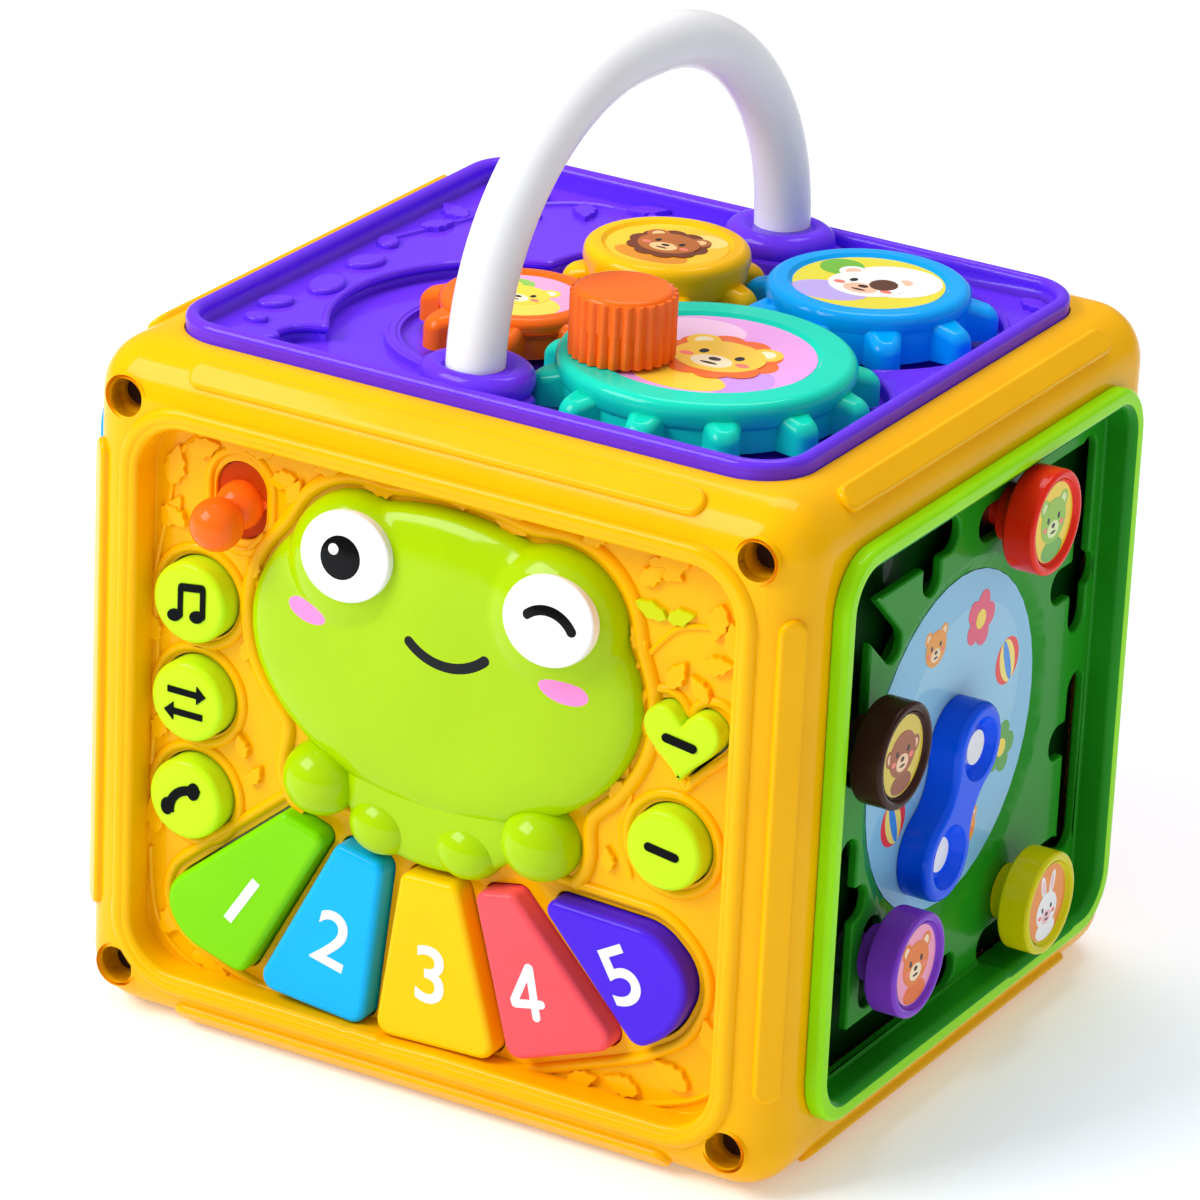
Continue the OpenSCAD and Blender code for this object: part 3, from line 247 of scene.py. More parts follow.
# %% [markdown]
# ## From a drawing to a piece
# A piece is finished in one place: doubles merged, faces turned outwards, smooth shading with crisp edges
# only where the shape really turns, a material, a body to ride on and the solids that it stands for.

# %% From a drawing to a piece
join_gap = 0.002 * MM


def turn_outwards(bm):
    """A moved bmesh keeps old normals until they are asked for, so they are renewed first."""
    bm.normal_update()
    bmesh.ops.recalc_face_normals(bm, faces=bm.faces)


def finish_piece(name, bm, materials, body, stands_for=(), crease=38):
    bmesh.ops.remove_doubles(bm, verts=bm.verts, dist=join_gap)
    turn_outwards(bm)
    mesh = bpy.data.meshes.new(name)
    bm.to_mesh(mesh)
    bm.free()
    for material in materials if isinstance(materials, list) else [materials]:
        mesh.materials.append(material)
    mesh.shade_smooth()
    mesh.set_sharp_from_angle(angle=math.radians(crease))
    piece = link(name, mesh)
    steady = piece.modifiers.new("flat_faces_stay_flat", "WEIGHTED_NORMAL")
    steady.keep_sharp = True
    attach(piece, body)
    if stands_for:
        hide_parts(*stands_for)
    print(name, len(mesh.polygons), "faces")


def placed(part, matrix):
    """A drawing moved onto its board."""
    part.transform(matrix)
    turn_outwards(part)
    return part


def put(into, part, matrix):
    """Moves a drawing onto its board and adds it to a bigger bmesh."""
    carrier = bpy.data.meshes.new("carrier")
    placed(part, matrix).to_mesh(carrier)
    part.free()
    into.from_mesh(carrier)
    bpy.data.meshes.remove(carrier)


# %% [markdown]
# ## Three ways to make a solid
# The first way is a plate, an outline raised to a thickness. A bevel then rounds its edges, since no
# moulded edge is sharp and the round is what catches light. A test says which edges get it.

# %% Plates
def higher_than(z):
    """A test for edges that lie wholly above a height."""
    return lambda edge: min(v.co.z for v in edge.verts) > z


def round_edges(bm, width, segments=3, sharper_than=30, only=None):
    """Bevels the edges that turn by more than an angle, in the units of the drawing."""
    turn = math.radians(sharper_than)
    edges = [e for e in bm.edges if len(e.link_faces) == 2 and e.calc_face_angle(0) > turn]
    if only:
        edges = [e for e in edges if only(e)]
    bmesh.ops.bevel(bm, geom=edges, offset=width, offset_type="OFFSET", affect="EDGES", segments=segments,
                    profile=0.5, material=-1, clamp_overlap=False)


def plate(points, thickness, rounding=0, segments=3):
    """A filled outline raised to a thickness, with its upper edge rounded."""
    bm = bmesh.new()
    face = bm.faces.new([bm.verts.new((x, y, 0)) for x, y in points])
    raised = bmesh.ops.extrude_face_region(bm, geom=[face], use_keep_orig=True)
    upper = [v for v in raised["geom"] if isinstance(v, bmesh.types.BMVert)]
    bmesh.ops.translate(bm, verts=upper, vec=(0, 0, thickness))
    turn_outwards(bm)
    if rounding:
        round_edges(bm, rounding, segments, 40, higher_than(thickness * 0.99))
    return bm


# %% [markdown]
# The second way is to turn a profile about an axis, as on a lathe. It suits whatever is round: buttons,
# sliding knobs, screw tubes and the drums of the gears.

# %% Turnings
def turned(profile, steps=64, rounding=0, segments=3):
    """A profile of (radius, height) points turned about the z axis, with its ring edges rounded."""
    bm = bmesh.new()
    verts = [bm.verts.new((r, 0, z)) for r, z in profile]
    edges = [bm.edges.new(pair) for pair in zip(verts, verts[1:])]
    bmesh.ops.spin(bm, geom=verts + edges, cent=(0, 0, 0), axis=(0, 0, 1), angle=2 * math.pi, steps=steps,
                   use_merge=True)
    bmesh.ops.remove_doubles(bm, verts=bm.verts, dist=0.001)
    turn_outwards(bm)
    if rounding:
        round_edges(bm, rounding, segments)
    return bm


# %% [markdown]
# The third way is a bead, a round bar along a line of points. A curve with a bevel makes it in one step, and
# it becomes a mesh before it gets its place.

# %% Beads
def as_bmesh(mesh):
    """A mesh as a bmesh. The mesh itself isn't needed any more."""
    bm = bmesh.new()
    bm.from_mesh(mesh)
    bpy.data.meshes.remove(mesh)
    return bm


def drawn(line):
    """A curve or a letter as a bmesh."""
    holder = bpy.data.objects.new("line", line)
    bm = as_bmesh(bpy.data.meshes.new_from_object(holder))
    bpy.data.objects.remove(holder)
    return bm


def swept(points, radius, closed=False, sides=10):
    """A round bead along a line of points."""
    line = bpy.data.curves.new("bead", "CURVE")
    line.dimensions = "3D"
    line.bevel_depth = radius
    line.bevel_resolution = sides // 2 - 2
    line.use_fill_caps = True
    spline = line.splines.new("POLY")
    spline.points.add(len(points) - 1)
    for spot, p in zip(spline.points, points):
        spot.co = (p[0], p[1], p[2] if len(p) > 2 else 0, 1)
    spline.use_cyclic_u = closed
    return drawn(line)


def ring_bead(radius, thickness, sides=10):
    return swept(arc((0, 0), radius, 0, 352.5, 47), thickness, closed=True, sides=sides)


# %% [markdown]
# ## Case
# The case is a hollow box of yellow plastic with round edges and a window on every face. A cube with
# bevelled edges gives true ball corners. A window is a little wider than a panel that drops into it, and
# narrower than a panel whose rim lies on the case.

# %% Case
case_size = (180, 166, 160)
half_x, half_y, mid_z = (s / 2 for s in case_size)
case_round = 13
case_wall = 3
front_size = (156, 137)
front_corner = 15
front_mid_z = 79
side_size = (139.2, 133.2)
back_size = (156, 133.2)
tray_size = (154.8, 140.8)
panel_corner = 13
base_size = (140, 126)
base_corner = 10
fit_gap = 0.3
rim_overlap = 2.6
screw_spots = [(x, z) for x in (-78.5, 78.5) for z in (11.8, 148.2)]
well_radius = 4.4
well_y = -82


def case_block(shrink, segments):
    """The box with round edges, smaller by a margin on every side."""
    bm = bmesh.new()
    bmesh.ops.create_cube(bm, size=1)
    bmesh.ops.scale(bm, vec=[s - 2 * shrink for s in case_size], verts=bm.verts)
    bmesh.ops.bevel(bm, geom=bm.edges[:], offset=case_round - shrink, offset_type="OFFSET", affect="EDGES",
                    segments=segments, profile=0.5, material=-1)
    bmesh.ops.translate(bm, verts=bm.verts, vec=(0, 0, case_size[2] / 2))
    bm.transform(Matrix.Scale(MM, 4))
    return bm


def window(size, corner, grow, matrix, depth=30):
    """A cutter for the opening of a panel, wider or narrower than the panel."""
    outline = rounded_rectangle(*(s + 2 * grow for s in size), corner + grow, 10)
    return placed(plate(outline, depth), matrix @ Matrix.Translation((0, 0, -depth / 2)))


windows = [
    window(front_size, front_corner, fit_gap, front(-half_y, 0, front_mid_z)),
    window(side_size, panel_corner, -rim_overlap, right_side(half_x, 0, mid_z)),
    window(side_size, panel_corner, -rim_overlap, left_side(-half_x, 0, mid_z)),
    window(back_size, panel_corner, -rim_overlap, behind(half_y, 0, mid_z)),
    window(tray_size, panel_corner, fit_gap, above(case_size[2])),
    window(base_size, base_corner, 0, above(0)),
]
well_profile = [(0, -6), (well_radius, -6), (well_radius, 6), (0, 6)]
wells = [placed(turned(well_profile, 32), front(well_y, x, z)) for x, z in screw_spots]
print(len(windows), "windows and", len(wells), "screw wells to cut")

# %% [markdown]
# The hollow, the windows and the screw wells are cut out with booleans, because a cut follows the round edge
# exactly as the mould does. A boolean is a modifier, so the shapes are objects for as long as it takes.

# %% Cuts
def plain_object(name, bm):
    mesh = bpy.data.meshes.new(name)
    turn_outwards(bm)
    bm.to_mesh(mesh)
    bm.free()
    return link(name, mesh)


def applied(thing):
    """The shape of a thing with its modifiers carried out, as a bmesh. The thing itself goes."""
    bpy.context.view_layer.update()
    seen = thing.evaluated_get(bpy.context.evaluated_depsgraph_get())
    bm = as_bmesh(bpy.data.meshes.new_from_object(seen))
    bpy.data.objects.remove(thing)
    return bm


def cut(bm, cutters):
    """Takes shapes out of a bmesh, one after the other."""
    thing = plain_object("blank", bm)
    tools = [plain_object("cutter", cutter) for cutter in cutters]
    for tool in tools:
        step = thing.modifiers.new("cut", "BOOLEAN")
        step.operation = "DIFFERENCE"
        step.object = tool
        step.solver = "EXACT"
    result = applied(thing)
    for tool in tools:
        bpy.data.objects.remove(tool)
    return result


case_bm = cut(case_block(0, 10), [case_block(case_wall, 4)] + windows + wells)
bmesh.ops.remove_doubles(case_bm, verts=case_bm.verts, dist=0.005 * MM)
print("case faces after the cuts:", len(case_bm.faces))

# %% [markdown]
# The ribs are flat bars with round ends that stand a little proud of the round edges, so each one is an
# outline raised into a plate and set on the slope of its edge. The screw tubes are turned.

# %% Ribs and screw tubes
upright_rib = 112
wide_rib = 128
deep_rib = 122
rib_width = 6.5
rib_out = 1.3
rib_depth = 4
tube_y = -80.4
tube_profile = [(well_radius, 2.4), (well_radius, -8), (1.7, -8), (1.7, -9), (5.2, -9), (5.2, 2.4)]


def rib(length, along, out_a, out_b, place):
    """A bar along one edge, facing halfway between the two faces that meet there."""
    out = (Vector(out_a) + Vector(out_b)).normalized()
    along = Vector(along)
    middle = Vector(place) - Vector(out_a) * case_round - Vector(out_b) * case_round
    base = middle + out * (case_round + rib_out - rib_depth)
    bar = plate(stadium(length, rib_width), rib_depth, 1.0)
    put(case_bm, bar, board(along, out.cross(along), out, base))


for a in (-1, 1):
    for b in (-1, 1):
        rib(upright_rib, (0, 0, 1), (a, 0, 0), (0, b, 0), (a * half_x, b * half_y, mid_z))
        rib(wide_rib, (1, 0, 0), (0, a, 0), (0, 0, b), (0, a * half_y, mid_z + b * mid_z))
        rib(deep_rib, (0, 1, 0), (a, 0, 0), (0, 0, b), (a * half_x, 0, mid_z + b * mid_z))
for x, z in screw_spots:
    put(case_bm, turned(tube_profile, 32), front(tube_y, x, z))
finish_piece("case_skin", case_bm, yellow, "case", ["case_shell"])

# %% [markdown]
# ## Front panel
# The panel is a shallow yellow dish. Its lip is one smooth roll, so the lip's edges get a wide rounding and
# every other edge a narrow one, as a toolmaker would draw them.

# %% Front panel
floor_y = -76
lip_y = -84
lip_round = 1.5
fine_round = 0.35


def merged(node):
    """A copy of a CAD solid with its triangles joined into flat faces."""
    bm = bmesh.new()
    bm.from_mesh(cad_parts[node].data)
    bmesh.ops.remove_doubles(bm, verts=bm.verts, dist=join_gap)
    bmesh.ops.dissolve_limit(bm, angle_limit=math.radians(0.6), verts=bm.verts, edges=bm.edges)
    return bm


panel = merged("front_panel")
round_edges(panel, lip_round * MM, 5, 30, lambda e: max(v.co.y for v in e.verts) < (lip_y + 0.1) * MM)
round_edges(panel, fine_round * MM, 2, 50)
finish_piece("front_panel_soft", panel, yellow, "case", ["front_panel"])

# %% [markdown]
# Beads run round the buttons, the keys and the lip. On the toy they are grooves in the mould, so they have
# the panel's own plastic, and with the leaves below they make one piece. A round bead half sunk in the
# floor gives the same soft ridge.

# %% Beads on the front panel
buttons = {"button_upper": (-62, 103.3), "button_middle": (-62, 79.8), "button_lower": (-62, 56.2)}
heart_at = (61.5, 101.5)
heart_half = 9.4
round_at = (58.9, 76.4)
lever_at = (-52.3, 128.2)
keys_edge = [(-36.5, 60), (-68.5, 33), (-62, 22.5), (-44, 16.5), (-14.2, 13.2), (21.5, 14.6), (52.5, 27),
             (62.8, 33.5), (68.8, 47.5), (57.8, 57), (27.8, 58)]
keys_edge_radii = [2.5, 8, 10, 8, 10, 10, 8, 14, 11, 12, 2.5]
bead_gap = 3
ring_radius = 11.5
thin_bead = 1.2
lip_inset = 0.4
lip_bead = 2.2
lip_bead_y = -82.3


def eased(points, rounds, closed=False):
    """Points pulled towards their neighbours, so that corners soften."""
    for _ in range(rounds):
        trios = zip(points[-1:] + points[:-1], points, points[1:] + points[:1])
        soft = [tuple((p + 2 * q + r) / 4 for p, q, r in zip(*trio)) for trio in trios]
        points = soft if closed else [points[0], *soft[1:-1], points[-1]]
    return points


def heart_outline(half_width, steps=90):
    """A heart with full cheeks and a blunt tip."""
    scale = half_width / 16
    points = []
    for k in range(steps):
        t = -2 * math.pi * k / steps
        height = 13 * math.cos(t) - 5 * math.cos(2 * t) - 2 * math.cos(3 * t) - math.cos(4 * t)
        spot = (16 * scale * math.sin(t) ** 3, scale * height + 0.9)
        if not points or math.dist(spot, points[-1]) > 0.7:
            points.append(spot)
    return eased(points, 3, closed=True)


def slot_outline(half_length, radius, steps):
    """An upright slot with round ends, by the middles of its ends."""
    return arc((0, half_length), radius, 0, 180, steps) + arc((0, -half_length), radius, 180, 360, steps)


relief = bmesh.new()
on_floor = front(floor_y + 0.15)
for x, z in [*buttons.values(), round_at]:
    put(relief, ring_bead(ring_radius, thin_bead), on_floor @ spin_about(x, z, 0))
lever_ring = swept(slot_outline(3.5, 8.2, 16), 1.1, closed=True)
put(relief, lever_ring, on_floor @ spin_about(*lever_at, 0))
heart_ring = swept(heart_outline(heart_half + bead_gap), thin_bead, closed=True)
put(relief, heart_ring, on_floor @ spin_about(*heart_at, 0))
keys_ring = swept(rounded_outline(keys_edge, keys_edge_radii, bead_gap), 1.4, closed=True)
put(relief, keys_ring, on_floor)
lip_line = rounded_rectangle(*(s - 2 * lip_inset for s in front_size), front_corner - lip_inset, 12)
put(relief, swept(lip_line, lip_bead, closed=True), front(lip_bead_y, 0, front_mid_z))
print("beads have", len(relief.faces), "faces")

# %% [markdown]
# Saw-edged leaves and thin stems fill the rest of the floor. Each leaf is a low plate, and no two have quite
# the same height, so that crossing leaves never share a plane, which would show as black specks.

# %% Leaves and stems on the front panel
leaf_spots = [
    (-72, 118, 9, 60), (-70, 128, 10, 80), (-66, 137, 9, 20), (-58, 142, 8, -10), (-44, 141, 9, 170),
    (-38, 137, 8, 200), (-73, 90, 8, 110), (-73, 67, 8, 70), (-72, 44, 9, 100), (-70, 20, 10, 60),
    (-62, 16, 9, 20), (-52, 13, 8, 160), (-30, 13, 9, 190), (0, 142, 10, 10), (12, 141, 9, -20),
    (-12, 141, 9, 190), (50, 140, 9, -20), (60, 142, 10, 200), (68, 134, 9, 260), (72, 122, 9, 100),
    (73, 110, 8, 80), (50, 118, 7, 120), (74, 88, 8, 100), (46, 88, 7, 250), (73, 66, 8, 80),
    (72, 30, 9, 110), (66, 20, 10, 150), (54, 16, 9, 170), (36, 14, 8, 20), (-48, 62, 6, 60),
    (44, 66, 6, 100), (-47, 116, 6, 250), (56, 112, 8, 60), (64, 119, 8, 15), (48, 134, 8, 40),
    (66, 111, 7, 130), (-40, 131, 7, 60), (-66, 119, 7, 140), (-50, 91, 6, 80), (-49, 68, 6, 110),
    (20, 142, 9, 160), (34, 140, 8, 30), (-26, 143, 8, 200), (10, 12, 8, 175), (-10, 11, 7, 5),
]
stems = [
    [(-74, 60), (-73, 85), (-74, 105), (-71, 122), (-68, 136), (-56, 144), (-40, 142)],
    [(-30, 143), (-12, 144), (4, 143), (20, 144), (36, 142)],
    [(44, 143), (58, 144), (69, 138), (74, 122), (73, 100), (75, 80), (74, 60)],
    [(-74, 40), (-72, 24), (-64, 15), (-48, 12), (-30, 12)],
    [(74, 36), (72, 22), (60, 15), (44, 12), (28, 12)],
    [(46, 112), (52, 120), (58, 126), (66, 128)],
    [(45, 95), (48, 86), (46, 76), (49, 66)],
    [(-46, 108), (-50, 116), (-46, 122)],
]
leaf_share = 0.62
height_step = 0.013
stem_bead = 0.75


def leaf(length, width, height, notches=3):
    """A leaf with a saw-tooth edge that starts at the origin and lies along x."""
    steps = 2 * notches + 1
    edge = []
    for k in range(1, steps + 1):
        share = k / (steps + 1)
        half = width / 2 * math.sin(math.pi * share ** 0.8)
        edge.append((length * share, half if k % 2 else 0.74 * half))
    points = [(0, 0)] + [(x, -y) for x, y in edge] + [(length, 0)] + list(reversed(edge))
    return plate(points, height, height * 0.3, 2)


def smooth_line(points, steps=8):
    """A line through the points with soft turns."""
    ends = [points[0]] + points + [points[-1]]
    line = []
    for corners in zip(ends, ends[1:], ends[2:], ends[3:]):
        for t in [k / steps for k in range(steps)]:
            line.append(tuple(0.5 * (2 * q + (r - p) * t + (2 * p - 5 * q + 4 * r - s) * t * t
                                     + (3 * q - p - 3 * r + s) * t ** 3) for p, q, r, s in zip(*corners)))
    return line + [points[-1]]


for i, (x, z, length, bearing) in enumerate(leaf_spots):
    low_leaf = leaf(length, length * leaf_share, 1 + height_step * i)
    put(relief, low_leaf, front(floor_y) @ spin_about(x, z, bearing))
for stem in stems:
    put(relief, swept(smooth_line(stem), stem_bead, sides=8), front(floor_y))
print("beads, leaves and stems have", len(relief.faces), "faces")

# %% [markdown]
# ## Animal head
# The head is a puffy pillow with two eye bumps that flow into it. Three stretched spheres are melted into
# one skin by a voxel remesh and then relaxed, which gives the soft valley between the eyes. Body, hands and
# feet stay separate balls, since the real moulding has a sharp crease round each of them.

# %% Animal head
head_at = (1.5, 104)
head_half = (49, 35.5)
head_rise = 9.2
head_puff = 0.6
eye_spots = [(-20.5, 121.5), (29, 120.8)]
eye_bump = 17
eye_rise = 11.2
eye_puff = 0.75
hands = [(-28.7, 69.3, 8.9), (27.5, 69, 9.2)]
feet = [(-12.6, 62.3, 7), (9.4, 62.3, 7)]
limb_rise = 1.08
limb_puff = 0.85
belly_at = (0.5, 69.5)
belly = (23, 14, 5.2, 0.4)


def pillow(half_x, half_y, rise, puff):
    """A sphere flattened to a pillow, with a shallow underside."""
    bm = bmesh.new()
    bmesh.ops.create_uvsphere(bm, u_segments=64, v_segments=40, radius=1)
    for v in bm.verts:
        height = math.copysign(abs(v.co.z) ** puff, v.co.z) * rise
        v.co = (v.co.x * half_x, v.co.y * half_y, max(height, -1.5))
    return bm


def melted(bm, voxel, relax):
    """The parts of a bmesh as one skin."""
    lump = plain_object("lump", bm)
    skin = lump.modifiers.new("skin", "REMESH")
    skin.mode = "VOXEL"
    skin.voxel_size = voxel
    result = applied(lump)
    for _ in range(relax):
        bmesh.ops.smooth_vert(result, verts=result.verts, factor=0.5, use_axis_x=True, use_axis_y=True,
                              use_axis_z=True)
    return result


head = placed(pillow(*head_half, head_rise, head_puff), Matrix.Translation((*head_at, 0)))
for x, z in eye_spots:
    put(head, pillow(eye_bump, eye_bump, eye_rise, eye_puff), Matrix.Translation((x, z, 0)))
animal = placed(melted(head, voxel=0.8, relax=5), front(floor_y))
for x, z, r in hands:
    put(animal, pillow(r, r * 0.97, r * limb_rise, limb_puff), front(floor_y, x, z))
for x, z, r in feet:
    put(animal, pillow(r * 1.16, r, r * limb_rise, limb_puff), front(floor_y, x, z))
put(animal, pillow(*belly), front(floor_y, *belly_at))
finish_piece("animal_head", animal, frog_green, "case", ["frog_cover"], crease=60)

# %% [markdown]
# One more bead follows the head at a steady distance. Its line is found by asking, on each bearing from the
# middle, how far the head, the eye bumps and the hands reach. With it the relief is complete.

# %% Bead round the head
head_gap = 2.6
head_bead = 1.8
first_bearing = -52
last_bearing = 232
bearing_steps = 140
bearing_step = (last_bearing - first_bearing) / bearing_steps
bearings = [math.radians(first_bearing + bearing_step * k) for k in range(bearing_steps + 1)]


def head_edge(turn):
    """The point on one bearing that clears the head, its eye bumps and its hands."""
    way = Vector((math.cos(turn), math.sin(turn)))
    reach = 1 / math.hypot(way.x / (head_half[0] + head_gap), way.y / (head_half[1] + head_gap))
    for x, z, radius in [(*spot, eye_bump) for spot in eye_spots] + hands:
        offset = Vector((x, z)) - Vector(head_at)
        aside = offset.cross(way)
        if abs(aside) < radius + head_gap:
            reach = max(reach, offset.dot(way) + math.sqrt((radius + head_gap) ** 2 - aside ** 2))
    return tuple(Vector(head_at) + reach * way)


put(relief, swept(eased([head_edge(t) for t in bearings], 4), head_bead), on_floor)
finish_piece("front_relief", relief, yellow, "case")

# %% [markdown]
# ## Prints
# Pupil, wink, smile and cheeks are pad-printed on the toy, so they have no thickness. They are drawn in the
# material: each is a mask worked out from the place on the toy in millimetres, which stays sharp however
# close one looks.

# %% Prints
def mix_in(material, blend="MIX"):
    """Puts a mix between a plastic's colour and its shader."""
    tree = material.node_tree
    colour = tree.nodes["Principled BSDF"].inputs["Base Color"]
    mix = tree.nodes.new("ShaderNodeMix")
    mix.data_type = "RGBA"
    mix.blend_type = blend
    tree.links.new(colour.links[0].from_socket, mix.inputs["A"])
    tree.links.new(mix.outputs["Result"], colour)
    return mix


class Ink:
    """Colours laid over a plastic where a mask says so, on the front of the toy."""

    def __init__(self, material):
        self.material = material
        self.tree = material.node_tree
        place = self.tree.nodes.new("ShaderNodeTexCoord")
        split = self.tree.nodes.new("ShaderNodeSeparateXYZ")
        self.tree.links.new(place.outputs["Object"], split.inputs[0])
        self.x = self.step("DIVIDE", split.outputs["X"], MM)
        self.y = self.step("DIVIDE", split.outputs["Z"], MM)

    def step(self, operation, first, second=0):
        node = self.tree.nodes.new("ShaderNodeMath")
        node.operation = operation
        for socket, value in zip(node.inputs, (first, second)):
            if isinstance(value, (int, float)):
                socket.default_value = value
            else:
                self.tree.links.new(value, socket)
        return node.outputs[0]

    def sum_of_squares(self, first, second):
        return self.step("ADD", self.step("MULTIPLY", first, first), self.step("MULTIPLY", second, second))

    def turned(self, at, bearing):
        """The place measured from a point, along and across a bearing."""
        c, s = math.cos(math.radians(bearing)), math.sin(math.radians(bearing))
        dx = self.step("SUBTRACT", self.x, at[0])
        dy = self.step("SUBTRACT", self.y, at[1])
        along = self.step("ADD", self.step("MULTIPLY", dx, c), self.step("MULTIPLY", dy, s))
        across = self.step("SUBTRACT", self.step("MULTIPLY", dy, c), self.step("MULTIPLY", dx, s))
        return along, across

    def oval(self, at, half_long, half_wide, bearing=0):
        along, across = self.turned(at, bearing)
        a = self.step("DIVIDE", along, half_long)
        b = self.step("DIVIDE", across, half_wide)
        return self.step("LESS_THAN", self.sum_of_squares(a, b), 1)

    def stroke(self, at, radius, bearing, half_turn, width):
        """Part of a circle drawn with a round pen."""
        along, across = self.turned(at, bearing)
        reach = self.step("SQRT", self.sum_of_squares(along, across))
        off = self.step("ABSOLUTE", self.step("SUBTRACT", reach, radius))
        line = self.step("LESS_THAN", off, width / 2)
        least = self.step("MULTIPLY", reach, math.cos(math.radians(half_turn)))
        mask = self.step("MULTIPLY", line, self.step("GREATER_THAN", along, least))
        for end in arc(at, radius, bearing - half_turn, bearing + half_turn, 1):
            mask = self.step("MAXIMUM", mask, self.oval(end, width / 2, width / 2))
        return mask

    def lay(self, mask, rgb):
        mix = mix_in(self.material)
        self.tree.links.new(mask, mix.inputs["Factor"])
        mix.inputs["B"].default_value = linear(rgb) + [1]


# %% [markdown]
# The smile is a stroke of a round pen along part of a circle, and the cheeks are two leaning ovals.

# %% Smile and cheeks
ink_black = (10, 10, 10)
ink_pink = (255, 140, 205)
face_ink = Ink(frog_green)
smile = face_ink.stroke(at=(6.3, 121), radius=14, bearing=270, half_turn=42, width=2.4)
left_cheek = face_ink.oval(at=(-29.8, 110.6), half_long=5.2, half_wide=2.6, bearing=-10)
right_cheek = face_ink.oval(at=(34.6, 108), half_long=5.7, half_wide=2.8, bearing=-8)
face_ink.lay(smile, ink_black)
face_ink.lay(left_cheek, ink_pink)
face_ink.lay(right_cheek, ink_pink)
print("the face's material has", len(face_ink.tree.nodes), "nodes")

# %% [markdown]
# The eye whites are two thin caps pressed into the bumps. A cap is a round piece of a ball's skin, so it is
# turned from an arc, squashed a little and leant back to follow its bump.

# %% Eye whites
# A white spot on the left pupil is a painted highlight, the glint of a lamp on the glossy eye.
highlight_white = (250, 250, 250)
white_radius = 11.2
white_ball = 40
white_deep = 4
white_proud = 0.3
white_squash = Matrix.Diagonal((1, 0.9, 1, 1))
white_spots = [(-19.5, 126.6), (31.3, 124.4)]
eye_lean = Matrix.Rotation(math.radians(-8), 4, "X")
eye_white = plastic("eye_white_plastic", (245, 245, 245), rough=0.22, clouds=0.01)
eye_ink = Ink(eye_white)
pupil = eye_ink.oval(at=(-19.7, 126.5), half_long=5, half_wide=4.8)
# The small white oval on the pupil is a painted highlight of a lamp on the glossy eye, not print.
pupil_highlight = eye_ink.oval(at=(-21.5, 128.1), half_long=1.3, half_wide=1.2)
wink = eye_ink.stroke(at=(31.7, 119.8), radius=7.2, bearing=82, half_turn=50, width=2.2)
eye_ink.lay(pupil, ink_black)
eye_ink.lay(pupil_highlight, highlight_white)
eye_ink.lay(wink, ink_black)


def cap(radius, ball, thickness, steps=8):
    """A round piece of a ball's skin, seen along z, with its top at the origin."""
    widest = math.degrees(math.asin(radius / ball))
    skin = arc((0, -ball), ball, 90, 90 - widest, steps)
    low = skin[-1][1] - thickness
    return turned(skin + [(radius, low), (0, low)], 64)


eyes = bmesh.new()
for x, z in white_spots:
    on_bump = front(floor_y - eye_rise - white_proud, x, z)
    put(eyes, cap(white_radius, white_ball, white_deep), on_bump @ eye_lean @ white_squash)
round_edges(eyes, 0.5 * MM, 3, 40)
finish_piece("eye_whites", eyes, eye_white, "case", ["frog_eyes"])

# %% [markdown]
# ## Buttons
# Each button is a slightly domed cap that slides in the panel, so it rides on a body of its own. Round ones
# are turned, and the heart is a plate raised from its outline.

# %% Buttons
button_radius = 9.4
button_proud = 5.5
round_radius = 9.2
round_proud = 5.0
heart_proud = 4.5
button_root = 4


def button(name, at, radius, proud):
    profile = [(0, proud + 0.3), (radius * 0.6, proud + 0.2), (radius, proud), (radius, -button_root),
               (0, -button_root)]
    bm = turned(profile, 64)
    round_edges(bm, 1.5, 4, 40, higher_than(0))
    finish_piece(name + "_cap", placed(bm, front(floor_y, *at)), lime, name, [name])


for name, at in buttons.items():
    button(name, at, button_radius, button_proud)
button("round_button", round_at, round_radius, round_proud)
heart = plate(heart_outline(heart_half), heart_proud + button_root, 1.1, 4)
heart = placed(heart, front(floor_y + button_root, *heart_at))
finish_piece("heart_button_cap", heart, lime, "heart_button", ["heart_button"])

# %% [markdown]
# The signs are black ink, a note, two arrows, a telephone and plain bars. A thin plate gives each a clean
# edge, and every part of a sign lies a hair above the one before it.

# %% Signs
sign_thick = 0.35
dome_rise = 0.1
ink_step = 0.02


def arrow_sign(length, height, half_shaft=0.75):
    """An arrow to the right, about the origin."""
    half = length / 2
    neck = half - height * 0.55
    return [(-half, -half_shaft), (neck, -half_shaft), (neck, -height / 2), (half, 0), (neck, height / 2),
            (neck, half_shaft), (-half, half_shaft)]


def oval_sign(half_long, half_wide):
    return [(half_long * x, half_wide * y) for x, y in arc((0, 0), 1, 0, 340, 17)]


def layered(drawings, thickness, on_board):
    """Flat drawings, each with its place and bearing, as thin plates one above the other."""
    bm = bmesh.new()
    for layer, (points, x, y, bearing) in enumerate(drawings):
        lift = Matrix.Translation((0, 0, ink_step * layer))
        put(bm, plate(points, thickness), on_board @ lift @ spin_about(x, y, bearing))
    return bm


def sign(name, at, proud, body, drawings):
    bm = layered(drawings, sign_thick, front(floor_y - proud - 0.05, *at))
    finish_piece(name, bm, black, body)


